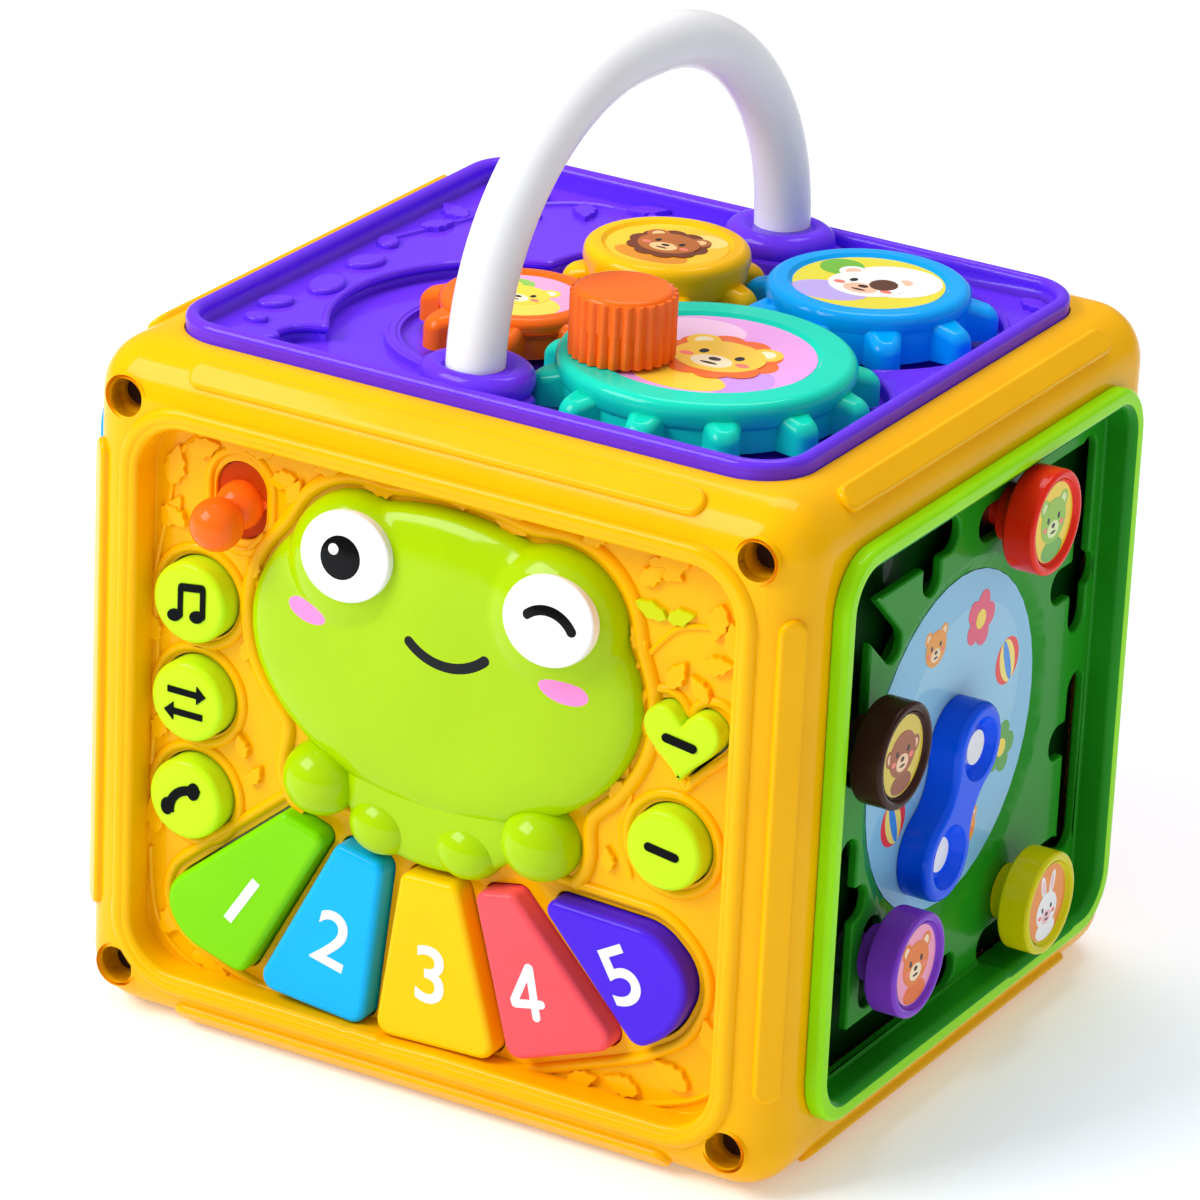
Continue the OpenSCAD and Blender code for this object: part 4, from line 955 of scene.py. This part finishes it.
note_head = oval_sign(1.9, 1.45)
note_stem = stadium(7.6, 1.3)
note = [(note_head, -3.2, -3.2, 20), (note_head, 2.6, -2.4, 20), (note_stem, -1.7, 0.2, 90),
        (note_stem, 4.1, 1.0, 90), (stadium(7.0, 1.8), 1.2, 4.2, 8)]
arrows = [(arrow_sign(10, 4.4), 0.4, 2.5, 0), (arrow_sign(10, 4.4), -0.4, -2.5, 180)]
receiver_arc = arc((0, -3.4), 6.6, 150, 30, 14) + arc((0, -3.4), 4.4, 30, 150, 14)
receiver_end = oval_sign(2.1, 1.6)
receiver = [(receiver_arc, 0, 0, 38), (receiver_end, -4.1, -2.2, 85), (receiver_end, 2.7, 2.9, 85)]
bar = stadium(8.6, 2)
button_signs = [("song_sign", "button_upper", note), ("swap_sign", "button_middle", arrows),
                ("receiver_sign", "button_lower", receiver)]
for sign_name, body, drawings in button_signs:
    sign(sign_name, buttons[body], button_proud + dome_rise, body, drawings)
sign("heart_sign", heart_at, heart_proud, "heart_button", [(bar, 0, 0.6, -8)])
sign("round_sign", round_at, round_proud + dome_rise, "round_button", [(bar, 0, 0, -8)])

# %% [markdown]
# ## Keys
# Five keys fan out below the head. Each is a wedge with round corners, raised from the same outline as its
# solid, and carries a white numeral that leans with it. The font's 4 has a counter too small for a bold
# print, so that one is drawn from three bars.

# %% Keys
key_root = 5
key_proud = 5.5
numeral_size = 19
numeral_thick = 0.2
numeral_sink = 0.1
keys = [
    dict(rgb=(126, 214, 0), radii=[2.5, 8, 12, 3, 2.5], figure=(-46.5, 35.5, -33),
         corners=[(-36.5, 60), (-68.5, 33), (-62, 22.5), (-46, 17.5), (-25, 56.5)]),
    dict(rgb=(16, 180, 248), radii=[2.5, 3.5, 3.5, 2.5], figure=(-22.5, 32.5, -13),
         corners=[(-22.2, 56.5), (-42.7, 16.5), (-14.2, 13.8), (-10.2, 54)]),
    dict(rgb=(255, 200, 0), radii=[2.5, 3.5, 3.5, 2.5], figure=(3.2, 31, 0),
         corners=[(-5.7, 54), (-11.2, 13.6), (20.3, 15), (8.8, 54.5)]),
    dict(rgb=(255, 88, 96), radii=[2.5, 3.5, 3.5, 2.5], figure=(27.5, 34.5, 12),
         corners=[(12.8, 54.5), (23.3, 16.5), (50.8, 26.9), (22.8, 56.5)]),
    dict(rgb=(78, 34, 226), radii=[2.5, 3.5, 15, 11, 12], figure=(51, 44.5, 30),
         corners=[(27.8, 58), (54.8, 28.3), (62.8, 33.5), (68.8, 47.5), (57.8, 57)]),
]
four = [(stadium(13.4, 2), 1.7, 0, 90), (stadium(8.6, 2), 0.1, -2.6, 0), (stadium(11, 2), -0.9, 2, 58)]


def numeral(number):
    line = bpy.data.curves.new("numeral", "FONT")
    line.body = str(number)
    line.size = numeral_size
    line.align_x = "CENTER"
    line.align_y = "CENTER"
    line.extrude = numeral_thick
    line.offset = 0.22
    return drawn(line)


for number, key in enumerate(keys, 1):
    name = f"key_{number}"
    wedge = plate(rounded_outline(key["corners"], key["radii"]), key_proud + key_root, 1.6, 4)
    paint = plastic(name + "_plastic", key["rgb"])
    finish_piece(name + "_soft", placed(wedge, front(floor_y + key_root)), paint, name, [name])
    on_key = front(floor_y - key_proud + numeral_sink) @ spin_about(*key["figure"])
    figure = layered(four, numeral_thick, on_key) if number == 4 else placed(numeral(number), on_key)
    finish_piece(name + "_numeral", figure, white, name)

# %% [markdown]
# ## Gears
# Each gear is a ring of chunky teeth under a drum with a soft rim and a sunk sticker. The teeth are lugs
# pulled out of the root circle. They keep the CAD's count, size and phase, so they still mesh, and their
# tops fall away outwards as on the toy.

# %% Gear teeth
gear_module = 5.8
root_depth = 3.6
tip_height = 3
tooth_half = 4.2
tip_half = 3.3
tip_corner = 2.9
gear_low = 157
tooth_top = 164.5
tooth_fall = 2.4
tooth_round = 2.3


def gear_radii(count):
    """The radii at the roots and at the tips of the teeth."""
    pitch = gear_module * count / 2
    return pitch - root_depth, pitch + tip_height


def toothed_outline(count, phase):
    """Root arcs joined by teeth with round tips."""
    root, tip = gear_radii(count)
    half_turn = math.degrees(math.asin(tooth_half / root))
    end = arc((tip - tip_corner, tip_corner - tip_half), tip_corner, -75, 0, 4)
    end += arc((tip - tip_corner, tip_half - tip_corner), tip_corner, 0, 75, 4)
    points = []
    for k in range(count):
        middle = phase + 360 * k / count
        points += arc((0, 0), root, middle + half_turn - 360 / count, middle - half_turn, 3)
        turn = Matrix.Rotation(math.radians(middle), 2)
        points += [tuple(turn @ Vector(p)) for p in end]
    return points


def sloping_teeth(count, phase):
    """The teeth as a plate whose top falls away outwards."""
    thickness = tooth_top - gear_low
    bm = plate(toothed_outline(count, phase), thickness, tooth_round, 5)
    root, tip = gear_radii(count)
    for v in bm.verts:
        share = (v.co.xy.length - root) / (tip - root)
        if v.co.z > thickness / 2:
            v.co.z += tooth_fall / 2 - tooth_fall * max(0, share)
    return bm


# %% [markdown]
# The drums are turned. Only the outer edges of a drum get a wide rounding, because its sticker lies in a
# well with a crisp edge.

# %% Gears
drum_low = 161.5
drum_round = 1.9
sticker_sink = 0.8
gears = {
    "gear_teal": dict(count=12, phase=6, at=(35, -28.8), top=168.5, drum=32.7, well=24, paint=teal),
    "gear_orange": dict(count=7, phase=599.8, at=(-18.88, -17.28), top=166.5, drum=18, well=13.5,
                        paint=orange),
    "gear_yellow": dict(count=7, phase=-310.77, at=(-3.26, 20.2), top=171, drum=18.9, well=14,
                        paint=gear_yellow),
    "gear_blue": dict(count=9, phase=347.3, at=(41.68, 31.73), top=168.5, drum=22.9, well=17.2,
                      paint=sky_blue),
}


def gear_drum(top, radius, well):
    profile = [(0, drum_low), (radius - 1.2, drum_low), (radius, top - 3.2), (radius - 0.4, top),
               (well + 0.9, top), (well, top - sticker_sink), (0, top - sticker_sink)]
    bm = turned(profile, 72)
    round_edges(bm, drum_round, 5, 35, lambda e: max(v.co.xy.length for v in e.verts) > well + 1.5)
    return bm


for name, gear in gears.items():
    bm = placed(sloping_teeth(gear["count"], gear["phase"]), above(gear_low, *gear["at"]))
    put(bm, gear_drum(gear["top"], gear["drum"], gear["well"]), above(0, *gear["at"]))
    finish_piece(name + "_soft", bm, gear["paint"], name, [name])

# %% [markdown]
# The crank knob is a drum with round ribs for small fingers. Its outline is a row of arches with sharp
# valleys between them, which the size of a cosine gives, and a turned cap closes its top.

# %% Crank knob
knob_at = (20.7, -40.9)
knob_low = 168.7
knob_ribs = 26
valley_radius = 10.6
rib_height = 1.05
rib_top = 14.2
cap_profile = [(0, 6), (10.9, 6), (10.9, 15), (0, 15)]
arches = []
for turn in [math.radians(a) for a in range(360)]:
    reach = valley_radius + rib_height * abs(math.cos(knob_ribs / 2 * turn))
    arches.append((reach * math.cos(turn), reach * math.sin(turn)))
knob = placed(plate(arches, rib_top, 0.3, 2), above(knob_low, *knob_at))
put(knob, turned(cap_profile, 72, 1.5, 5), above(knob_low, *knob_at))
finish_piece("crank_knob_soft", knob, orange, "crank_knob", ["crank_knob"], crease=30)

# %% [markdown]
# ## Top tray
# The tray has a rolled lip and a ledge round the gears. The lip is cut down and a bead laid along it, and a
# bead along every edge of the ledge makes it soft. Beads are safer here than a bevel, since the edges of the
# ledge and of the collars run into each other.

# %% Top tray
tray_wall = 3.2
tray_lip_z = 164
ledge_z = 158.8
ledge_bead = 1.0
ledge_sink = 0.6
pit_radius = 27.7
pit_bead = 1.9
pit_z = 155
lip_roll = tray_wall / 2 + 0.1
on_ledge = above(ledge_z)


def level_with(v, z):
    return abs(v.co.z - z * MM) < 0.05 * MM


def edge_lines(edges):
    """Edges joined end to end into lines of points."""
    waiting = dict.fromkeys(edges)
    lines = []
    while waiting:
        line = list(waiting.popitem()[0].verts)
        for _ in range(2):
            onward = [e for e in line[-1].link_edges if e in waiting]
            while onward:
                del waiting[onward[0]]
                line.append(onward[0].other_vert(line[-1]))
                onward = [e for e in line[-1].link_edges if e in waiting]
            line.reverse()
        lines.append([v.co / MM for v in line])
    return lines


tray = merged("top_tray")
ledge_edges = [e for e in tray.edges if e.is_convex and e.calc_face_angle(0) > 0.7
               and all(level_with(v, ledge_z) for v in e.verts)]
ledge_lines = edge_lines(ledge_edges)
wall_x, wall_y = (side / 2 - tray_wall - 0.1 for side in tray_size)
for v in tray.verts:
    by_the_wall = abs(v.co.x) > wall_x * MM or abs(v.co.y) > wall_y * MM
    if by_the_wall or level_with(v, tray_lip_z):
        v.co.z = min(v.co.z, (tray_lip_z - lip_roll) * MM)
bmesh.ops.dissolve_degenerate(tray, dist=0.01 * MM, edges=tray.edges)
wall_line = rounded_rectangle(*(side - tray_wall for side in tray_size), panel_corner - tray_wall / 2, 12)
put(tray, swept(wall_line, lip_roll, closed=True, sides=16), above(tray_lip_z - lip_roll))
for line in ledge_lines:
    put(tray, swept([(p.x, p.y, p.z - ledge_sink) for p in line], ledge_bead), Matrix.Scale(MM, 4))
put(tray, ring_bead(pit_radius, pit_bead), above(pit_z, *gears["gear_orange"]["at"]))
finish_piece("top_tray_soft", tray, tray_purple, "case", ["top_tray"], crease=30)
print(len(ledge_lines), "lines along the ledge")

# %% [markdown]
# Low leaves, a stem and smooth pebbles stand on the ledge in the tray's own purple. They are made like those
# on the front, with the same helpers.

# %% Relief on the tray
tray_leaves = [(-64, 34, 11, 150), (-61, 42, 11, 20), (-56, 53, 11, 130), (-47, 59, 10, -60),
               (-37, 61, 10, 35), (-27, 61, 9, -35), (-18, 61, 8, 20), (22, 64, 9, 10), (42, 65, 8, 170),
               (64, 64, 9, -25), (74, 2, 8, 85), (-69, 22, 9, 60)]
pebbles = [(-67, -4, 5.2, 3.4, 70), (-66, -22, 6.2, 4, 100), (-69, -38, 4.4, 3, 60), (-62, -58, 6, 3.6, 20),
           (-70, 10, 3.6, 2.6, 120), (-67, -49, 3, 2.2, 0)]
tray_stem = [(-71, 14), (-65, 32), (-60, 48), (-48, 60), (-34, 62), (-18, 62)]
tray_relief = bmesh.new()
for i, (x, y, length, bearing) in enumerate(tray_leaves):
    foliage = leaf(length, length * 0.6, 1.2 + 0.04 * (i % 6))
    put(tray_relief, foliage, on_ledge @ spin_about(x, y, bearing))
for x, y, half_long, half_wide, bearing in pebbles:
    oval = [(half_long * c, half_wide * s) for c, s in arc((0, 0), 1, 0, 348, 29)]
    put(tray_relief, plate(oval, 1.3, 0.9, 4), on_ledge @ spin_about(x, y, bearing))
put(tray_relief, swept(smooth_line(tray_stem), 0.9, sides=8), on_ledge)
finish_piece("tray_relief", tray_relief, tray_purple, "case")

# %% [markdown]
# A fat collar swells about each foot of the handle and hides its screw. It is a ring that is squeezed on the
# side of the lip, so that the lip runs past it unbroken.

# %% Handle collars
foot_reach = 60
handle_turn = math.radians(-4)
collar_z = 163
collar_radius = 9.9
collar_bead = 3.3
collar_squeeze = 0.7
collars = bmesh.new()
for side in (-1, 1):
    foot = Matrix.Rotation(handle_turn, 2) @ Vector((0, side * foot_reach))
    collar = ring_bead(collar_radius, collar_bead, 16)
    for v in collar.verts:
        if v.co.y * side > 0:
            v.co.y *= collar_squeeze
    put(collars, collar, above(collar_z, *foot))
finish_piece("handle_collars", collars, tray_purple, "case")

# %% [markdown]
# ## Maze
# A lime rim stands round a green dish whose slots guide four sliding knobs. On the toy they are two shots of
# plastic. Here they are two materials on one piece: a face is lime if it is high enough and doesn't look
# inwards. A near-black green sheet behind the slots is painted shade: it stands for the deep shadow in the
# slots and hides the inside of the case.

# %% Maze
lime_from_x = 90.02
maze_top_x = 94
rim_width = 5
rim_inner_round = 2.4
rim_outer_round = 1.3
slot_round = 0.7
backing_x = 79.4


def depth_inside(spot):
    """How far a place in the maze is inside the rim's outer edge, in millimetres."""
    across = abs(spot.y / MM) - side_size[0] / 2 + panel_corner
    up = abs(spot.z / MM - mid_z) - side_size[1] / 2 + panel_corner
    return panel_corner - math.hypot(max(across, 0), max(up, 0)) - min(max(across, up), 0)


def on_rim(edge, depth):
    """Whether an edge runs along the top of the rim, about so far from its outer edge."""
    on_top = all(v.co.x > (maze_top_x - 0.05) * MM for v in edge.verts)
    return on_top and all(abs(depth_inside(v.co) - depth) < 1 for v in edge.verts)


maze = merged("maze_panel")
round_edges(maze, rim_inner_round * MM, 5, 30, lambda e: on_rim(e, rim_width))
round_edges(maze, rim_outer_round * MM, 4, 30, lambda e: on_rim(e, 0))
round_edges(maze, slot_round * MM, 3, 35)
maze.normal_update()
for face in maze.faces:
    middle = face.calc_center_median()
    inwards = Vector((0, -middle.y, mid_z * MM - middle.z)).normalized()
    face.material_index = 1 if middle.x > lime_from_x * MM and face.normal.dot(inwards) < 0.3 else 0
finish_piece("maze_panel_soft", maze, [leaf_green, rim_lime], "case", ["maze_panel"])
# The sheet behind the slots carries painted shade, the dark of the deep slots.
backing = placed(plate(rounded_rectangle(140, 130, 9), 1), right_side(backing_x, 0, mid_z))
finish_piece("maze_slot_shade", backing, slot_shade_green, "case")

# %% [markdown]
# Each sliding knob is one turned piece: a round head with a sunk face for a sticker, a step that rests on
# the maze and a neck that runs in its slot.

# %% Sliders
slider_face = 98.7
slider_sink = 1.2
slider_profile = [(0, -slider_sink), (9.6, -slider_sink), (9.9, 0), (12, 0), (12, -7.7), (6.5, -7.7),
                  (6.5, -12), (3.7, -12.2), (3.7, -17), (0, -17)]
sliders = {"slider_red": ((17.6, 129), red), "slider_brown": ((-48, 97), brown),
           "slider_purple": ((-35, 42.7), violet), "slider_yellow": ((29, 33), lemon)}
for name, (at, paint) in sliders.items():
    bm = turned(slider_profile)
    round_edges(bm, 0.9, 4, 60, higher_than(-8))
    finish_piece(name + "_soft", placed(bm, right_side(slider_face, *at)), paint, name, [name])

# %% [markdown]
# The pointer is a blue dumbbell that spins on its upper end. Four arcs that meet without a corner make its
# outline, and two dished holes are cut into its face for the fingertips.

# %% Pointer
pointer_far = (-12.02, 58.31)
pointer_near = (0, 80)
pointer_low = 85.3
pointer_thick = 7.5
lobe_radius = 10.5
waist_width = 13.5
dimple_deep = 2.6
dimple_profile = [(0, -dimple_deep), (5.4, -dimple_deep), (7.2, -0.4), (7.2, 3), (0, 3)]
pointer_way = Vector(pointer_near) - Vector(pointer_far)
pointer_middle = (Vector(pointer_near) + Vector(pointer_far)) / 2
pointer_lean = math.degrees(math.atan2(pointer_way.y, pointer_way.x))


def dumbbell(length, lobe, waist, steps=14):
    """Two round lobes joined by a waist with soft hollows."""
    reach = length / 2
    hollow = (reach ** 2 - lobe ** 2 + (waist / 2) ** 2) / (2 * (lobe - waist / 2))
    high = waist / 2 + hollow
    meet = math.degrees(math.atan2(high, -reach))
    spare = math.degrees(math.atan2(high, reach))
    right = arc((reach, 0), lobe, -meet, meet, 2 * steps)
    upper = arc((0, high), hollow, -spare, spare - 180, steps)[1:-1]
    left = arc((-reach, 0), lobe, spare, 360 - spare, 2 * steps)
    lower = arc((0, -high), hollow, 180 - spare, spare, steps)[1:-1]
    return right + upper + left + lower


dimples = []
for side in (-1, 1):
    lobe_top = Matrix.Translation((side * pointer_way.length / 2, 0, pointer_thick))
    dimples.append(placed(turned(dimple_profile, 48), lobe_top))
blank = plate(dumbbell(pointer_way.length, lobe_radius, waist_width), pointer_thick, 1.9, 5)
pointer = cut(blank, dimples)
round_edges(pointer, 0.6, 3, 50, higher_than(pointer_thick - 0.2))
pointer = placed(pointer, right_side(pointer_low, *pointer_middle) @ spin_about(0, 0, pointer_lean))
finish_piece("pointer_soft", pointer, royal_blue, "pointer", ["pointer"])

# %% [markdown]
# ## Stickers
# Round stickers with simple animals sit in the gears and the sliders. Every shape is a thin oval of film.
# It lies one level above those that it overlaps, and one film material reads its colour from the mesh.

# %% Stickers
film_thick = 0.1
film_gap = 0.06
film = plastic("sticker_film", (255, 255, 255), rough=0.2, coat=0.4)
film_ink = film.node_tree.nodes.new("ShaderNodeVertexColor")
film_ink.layer_name = "ink"
film_mix = mix_in(film, "MULTIPLY")
film_mix.inputs["Factor"].default_value = 1
film.node_tree.links.new(film_ink.outputs["Color"], film_mix.inputs["B"])


def sticker(name, body, matrix, shapes):
    """Ovals of colour, given as colour, x, y, half width, half height and bearing."""
    bm = bmesh.new()
    ink = bm.loops.layers.float_color.new("ink")
    laid = []
    for rgb, x, y, half_wide, half_high, bearing in shapes:
        reach = max(half_wide, half_high)
        under = [level for level, spot, far in laid if math.dist(spot, (x, y)) < reach + far]
        level = max(under, default=-1) + 1
        laid.append((level, (x, y), reach))
        stretch = Matrix.Diagonal((half_wide, half_high, 1, 1))
        lift = Matrix.Translation((0, 0, ink_step * level))
        disc = bmesh.ops.create_cone(bm, cap_ends=True, segments=40 if half_wide > 3 else 20, radius1=1,
                                     radius2=1, depth=film_thick,
                                     matrix=matrix @ lift @ spin_about(x, y, bearing) @ stretch)
        for face in {f for v in disc["verts"] for f in v.link_faces}:
            for loop in face.loops:
                loop[ink] = linear(rgb) + [1]
    finish_piece(name, bm, film, body)


def scaled(shapes, x, y, size):
    """Shapes drawn for size one, at a place and a size."""
    return [(rgb, x + size * a, y + size * b, size * wide, size * high, bearing)
            for rgb, a, b, wide, high, bearing in shapes]


# %% [markdown]
# An animal face is the same for all: mane, ears, head, muzzle, eyes, cheeks, nose and mouth. Colours and the
# shape of the ears make a bear, a lion, a monkey or a rabbit of it.

# %% Animal faces
round_ears = (0.74, 0.66, 0.36, 0.36)
side_ears = (0.98, 0.1, 0.3, 0.34)
tall_ears = (0.42, 1.25, 0.24, 0.62)
pupil_ink = (20, 15, 15)
cheek_ink = (255, 130, 110)
nose_ink = (60, 25, 20)


def animal_face(x, y, size, skin, ears, muzzle, mane=None):
    across, up, wide, high = ears
    shapes = []
    if mane:
        shapes += [(mane, 0.92 * c, 0.85 * s, 0.42, 0.42, 0) for c, s in arc((0, 0), 1, 0, 324, 9)]
    for side in (-1, 1):
        shapes.append((skin, side * across, up, wide, high, side * -15))
        shapes.append((muzzle, side * across, up, 0.55 * wide, 0.6 * high, side * -15))
    shapes += [(skin, 0, 0, 1, 0.88, 0), (muzzle, 0, -0.34, 0.46, 0.34, 0)]
    for side in (-1, 1):
        shapes.append((pupil_ink, side * 0.42, 0.1, 0.1, 0.13, 0))
        shapes.append((cheek_ink, side * 0.66, -0.22, 0.16, 0.11, 0))
    shapes += [(nose_ink, 0, -0.2, 0.14, 0.1, 0), (nose_ink, 0, -0.46, 0.2, 0.05, 0)]
    return scaled(shapes, x, y, size)


# %% [markdown]
# Each picture starts with the colour of its ground. A few loose patches follow, and the face lies on top.

# %% Gear and slider stickers
sticker_gap = 0.2
slider_sticker = 9.3
gear_pictures = {
    "gear_teal": [
        (238, 165, 232), ((250, 205, 235), -9, 11, 11, 8, 20), ((205, 150, 235), 12, -10, 9, 9, 0),
        ((255, 206, 60), 2, -16, 11, 6, 0),
        *animal_face(3, 0, 10.4, (255, 205, 60), round_ears, (255, 240, 200), (245, 110, 30))],
    "gear_orange": [
        (250, 170, 215), ((255, 225, 90), 3, -5, 9, 7, 15), ((150, 205, 90), -6, 5, 6, 4, 30),
        *animal_face(0, 0.5, 6.6, (255, 220, 70), round_ears, (255, 245, 210))],
    "gear_yellow": [
        (255, 205, 45), ((235, 150, 30), 0, -7.5, 9, 4.5, 0), ((255, 228, 130), 6, 7, 5, 4, 0),
        *animal_face(0, 0.5, 7.2, (190, 105, 40), round_ears, (250, 205, 140), (120, 55, 20))],
    "gear_blue": [
        (238, 224, 60), ((196, 175, 240), -5, -9, 9, 6, 10), ((250, 250, 250), 4, 4, 11, 10, 20),
        ((120, 190, 60), -10, 6, 5, 5, 0),
        *animal_face(0, -1, 8.8, (252, 250, 246), round_ears, (250, 200, 170)),
        ((96, 52, 30), 3.4, 0.6, 3.2, 3.5, 20)],
}
slider_pictures = {
    "slider_red": [(250, 215, 50), ((110, 180, 60), 0, -6.4, 5, 2.6, 0),
                   *animal_face(0, 0.4, 5.9, (150, 200, 60), round_ears, (225, 240, 170))],
    "slider_brown": [(225, 200, 70), ((150, 80, 40), 0, -6.4, 4.6, 2.4, 0),
                     *animal_face(0, 0.4, 5.9, (165, 90, 45), side_ears, (250, 210, 165))],
    "slider_purple": [(250, 160, 190), ((240, 110, 30), 0, -6.4, 5, 2.6, 0),
                      *animal_face(0, 0.4, 5.9, (240, 125, 40), round_ears, (255, 230, 190))],
    "slider_yellow": [(250, 150, 60), ((250, 250, 250), 0, -6.6, 4.6, 2.4, 0),
                      *animal_face(0, -1.8, 4.9, (252, 250, 250), tall_ears, (255, 205, 210))],
}


def round_sticker(name, radius, matrix, background, *shapes):
    sticker(name + "_sticker", name, matrix, [(background, 0, 0, radius, radius, 0), *shapes])


for name, picture in gear_pictures.items():
    gear = gears[name]
    in_well = above(gear["top"] - sticker_sink + film_gap, *gear["at"])
    round_sticker(name, gear["well"] - sticker_gap, in_well, *picture)
for name, picture in slider_pictures.items():
    in_well = right_side(slider_face - slider_sink + film_gap, *sliders[name][0])
    round_sticker(name, slider_sticker, in_well, *picture)

# %% [markdown]
# The picture disc behind the pointer shows balls, flowers and bears in a ring, so that the pointer always
# points at something. The far lobe of the pointer holds a white dot.

# %% Picture disc
disc_print_x = 85.04
picture_ring = 27.5
flower_heart = (255, 225, 80)
beach_ball = [((245, 70, 60), 0, 0, 1, 1, 0), ((255, 235, 120), 0, 0, 0.62, 1, 20),
              ((70, 150, 235), 0, 0, 0.24, 1, 20)]


def flower(petal):
    petals = [(petal, 0.62 * c, 0.62 * s, 0.44, 0.44, 0) for c, s in arc((0, 0), 1, 0, 288, 4)]
    return petals + [(flower_heart, 0, 0, 0.36, 0.36, 0)]


disc_shapes = [((140, 200, 232), 0, 0, 38.9, 38.9, 0), ((156, 210, 236), 5, 6, 27, 24, 0)]
for k, (x, y) in enumerate(arc((0, 0), picture_ring, 22, 337, 7)):
    ball = scaled(beach_ball, x, y, 5.6)
    pink_flower = scaled(flower((240, 90, 120)), x, y, 6.4)
    bear = animal_face(x, y, 4.8, (245, 160, 60), round_ears, (255, 225, 180))
    green_flower = scaled(flower((90, 170, 70)), x, y, 6)
    disc_shapes += [ball, pink_flower, bear, green_flower][k % 4]
sticker("picture_print", "case", right_side(disc_print_x, 0, mid_z), disc_shapes)
dot_x = pointer_low + pointer_thick - dimple_deep + 0.05
sticker("pointer_dot", "pointer", right_side(dot_x, *pointer_far), [((245, 245, 250), 0, 0, 4, 4, 0)])

# %% [markdown]
# ## The other sides
# The left and back panels and the lever have the right CAD shape and only need soft edges, so a copy of each
# solid gets a narrow bevel.

# %% Left, back and lever
softened = [("left_panel", 0.8, sky_blue, "case"), ("back_panel", 0.8, orange, "case"),
            ("toggle_lever", 0.3, orange, "toggle_lever")]
for node, width, paint, body in softened:
    solid = merged(node)
    round_edges(solid, width * MM)
    finish_piece(node + "_soft", solid, paint, body, [node])

# %% [markdown]
# A dark rubber boot closes the slot behind the lever, and a sprout of two pale leaves stands beside the
# head. Both are plates, and the sprout is made with the same leaf as the relief.

# %% Lever boot and sprout
boot_y = -74.2
sprout_at = (55, 127.5)
boot = placed(plate(slot_outline(2.5, 6.3, 12), 1), front(boot_y, *lever_at))
finish_piece("lever_boot", boot, boot_orange, "case")
sprouts = bmesh.new()
for bearing, length in ((165, 9), (20, 7)):
    put(sprouts, leaf(length, 4.5, 1.2, 2), front(floor_y) @ spin_about(*sprout_at, bearing))
finish_piece("sprout_leaves", sprouts, sprout, "case")

# %% [markdown]
# ## Plain solids
# The handle, the disc, the base and the small fasteners are right as they come from CAD. They only get a
# material. What isn't named here is a fastener or lies inside the case, and gets plain steel.

# %% Plain solids
# The front screws deep in their wells get a dark brown that is painted shade, not steel.
plain_dress = {"handle": white, "picture_disc": pale_blue, "base_panel": yellow, "battery_door": yellow,
               "power_switch": black, "crank_pin": teal, "pointer_pin": white, "front_screws": screw_well_shade}
for node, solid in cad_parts.items():
    if not solid.hide_render:
        solid.data.materials.clear()
        solid.data.materials.append(plain_dress.get(node, steel))
print(len(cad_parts), "solids, dressed or stood for")

# %% [markdown]
# ## Studio
# The toy stands on a wide sheet of pale paper. The paper glows a little, as on a table lit from below, so
# that the shadow on it stays soft and pale.

# %% Paper floor
floor_bm = bmesh.new()
bmesh.ops.create_grid(floor_bm, x_segments=1, y_segments=1, size=4)
bmesh.ops.translate(floor_bm, verts=floor_bm.verts, vec=(0, 0, -0.3 * MM))
floor_mesh = bpy.data.meshes.new("floor")
floor_bm.to_mesh(floor_mesh)
floor_bm.free()
floor = link("floor", floor_mesh)
paper = plastic("floor_paper", (238, 244, 252), rough=0.7, coat=0, clouds=0.004)
paper_shader = paper.node_tree.nodes["Principled BSDF"]
paper_shader.inputs["Emission Color"].default_value = (1, 1, 1, 1)
paper_shader.inputs["Emission Strength"].default_value = 0.24
floor_mesh.materials.append(paper)
print("floor is", round(floor.dimensions.x, 1), "m wide")

# %% [markdown]
# A large lamp at the upper left makes the long soft highlights, one overhead lights the tray, and a weak one
# at the right opens the shadows in the maze. The sky is darker towards the ground, so that glossy walls keep
# their colour.

# %% Lamps and sky
toy_middle = (0, 0, 0.09)
lamps = [("key", (-0.75, -0.9, 1.05), (0.9, 0.7), 18), ("fill", (1.3, -0.5, 0.5), (0.8, 0.8), 0.8),
         ("top", (-0.15, 0.45, 1.45), (0.9, 0.6), 9)]
for name, place, size, power in lamps:
    lamp = bpy.data.lights.new(name, "AREA")
    lamp.shape = "RECTANGLE"
    lamp.size, lamp.size_y = size
    lamp.energy = power
    aim(link(name, lamp), place, toy_middle)
world = bpy.data.worlds.new("sky")
bpy.context.scene.world = world
world.use_nodes = True
tree = world.node_tree
sky = tree.nodes["Background"]
sky_place = tree.nodes.new("ShaderNodeTexCoord")
sky_split = tree.nodes.new("ShaderNodeSeparateXYZ")
sky_ramp = tree.nodes.new("ShaderNodeValToRGB")
sky_ramp.color_ramp.elements[0].color = (0.42, 0.42, 0.42, 1)
sky_ramp.color_ramp.elements[1].color = (1, 1, 1, 1)
tree.links.new(sky_place.outputs["Generated"], sky_split.inputs[0])
tree.links.new(sky_split.outputs["Z"], sky_ramp.inputs["Fac"])
tree.links.new(sky_ramp.outputs["Color"], sky.inputs["Color"])
sky.inputs["Strength"].default_value = 0.6
bpy.context.scene.view_settings.view_transform = "Standard"
print(len(lamps), "lamps")
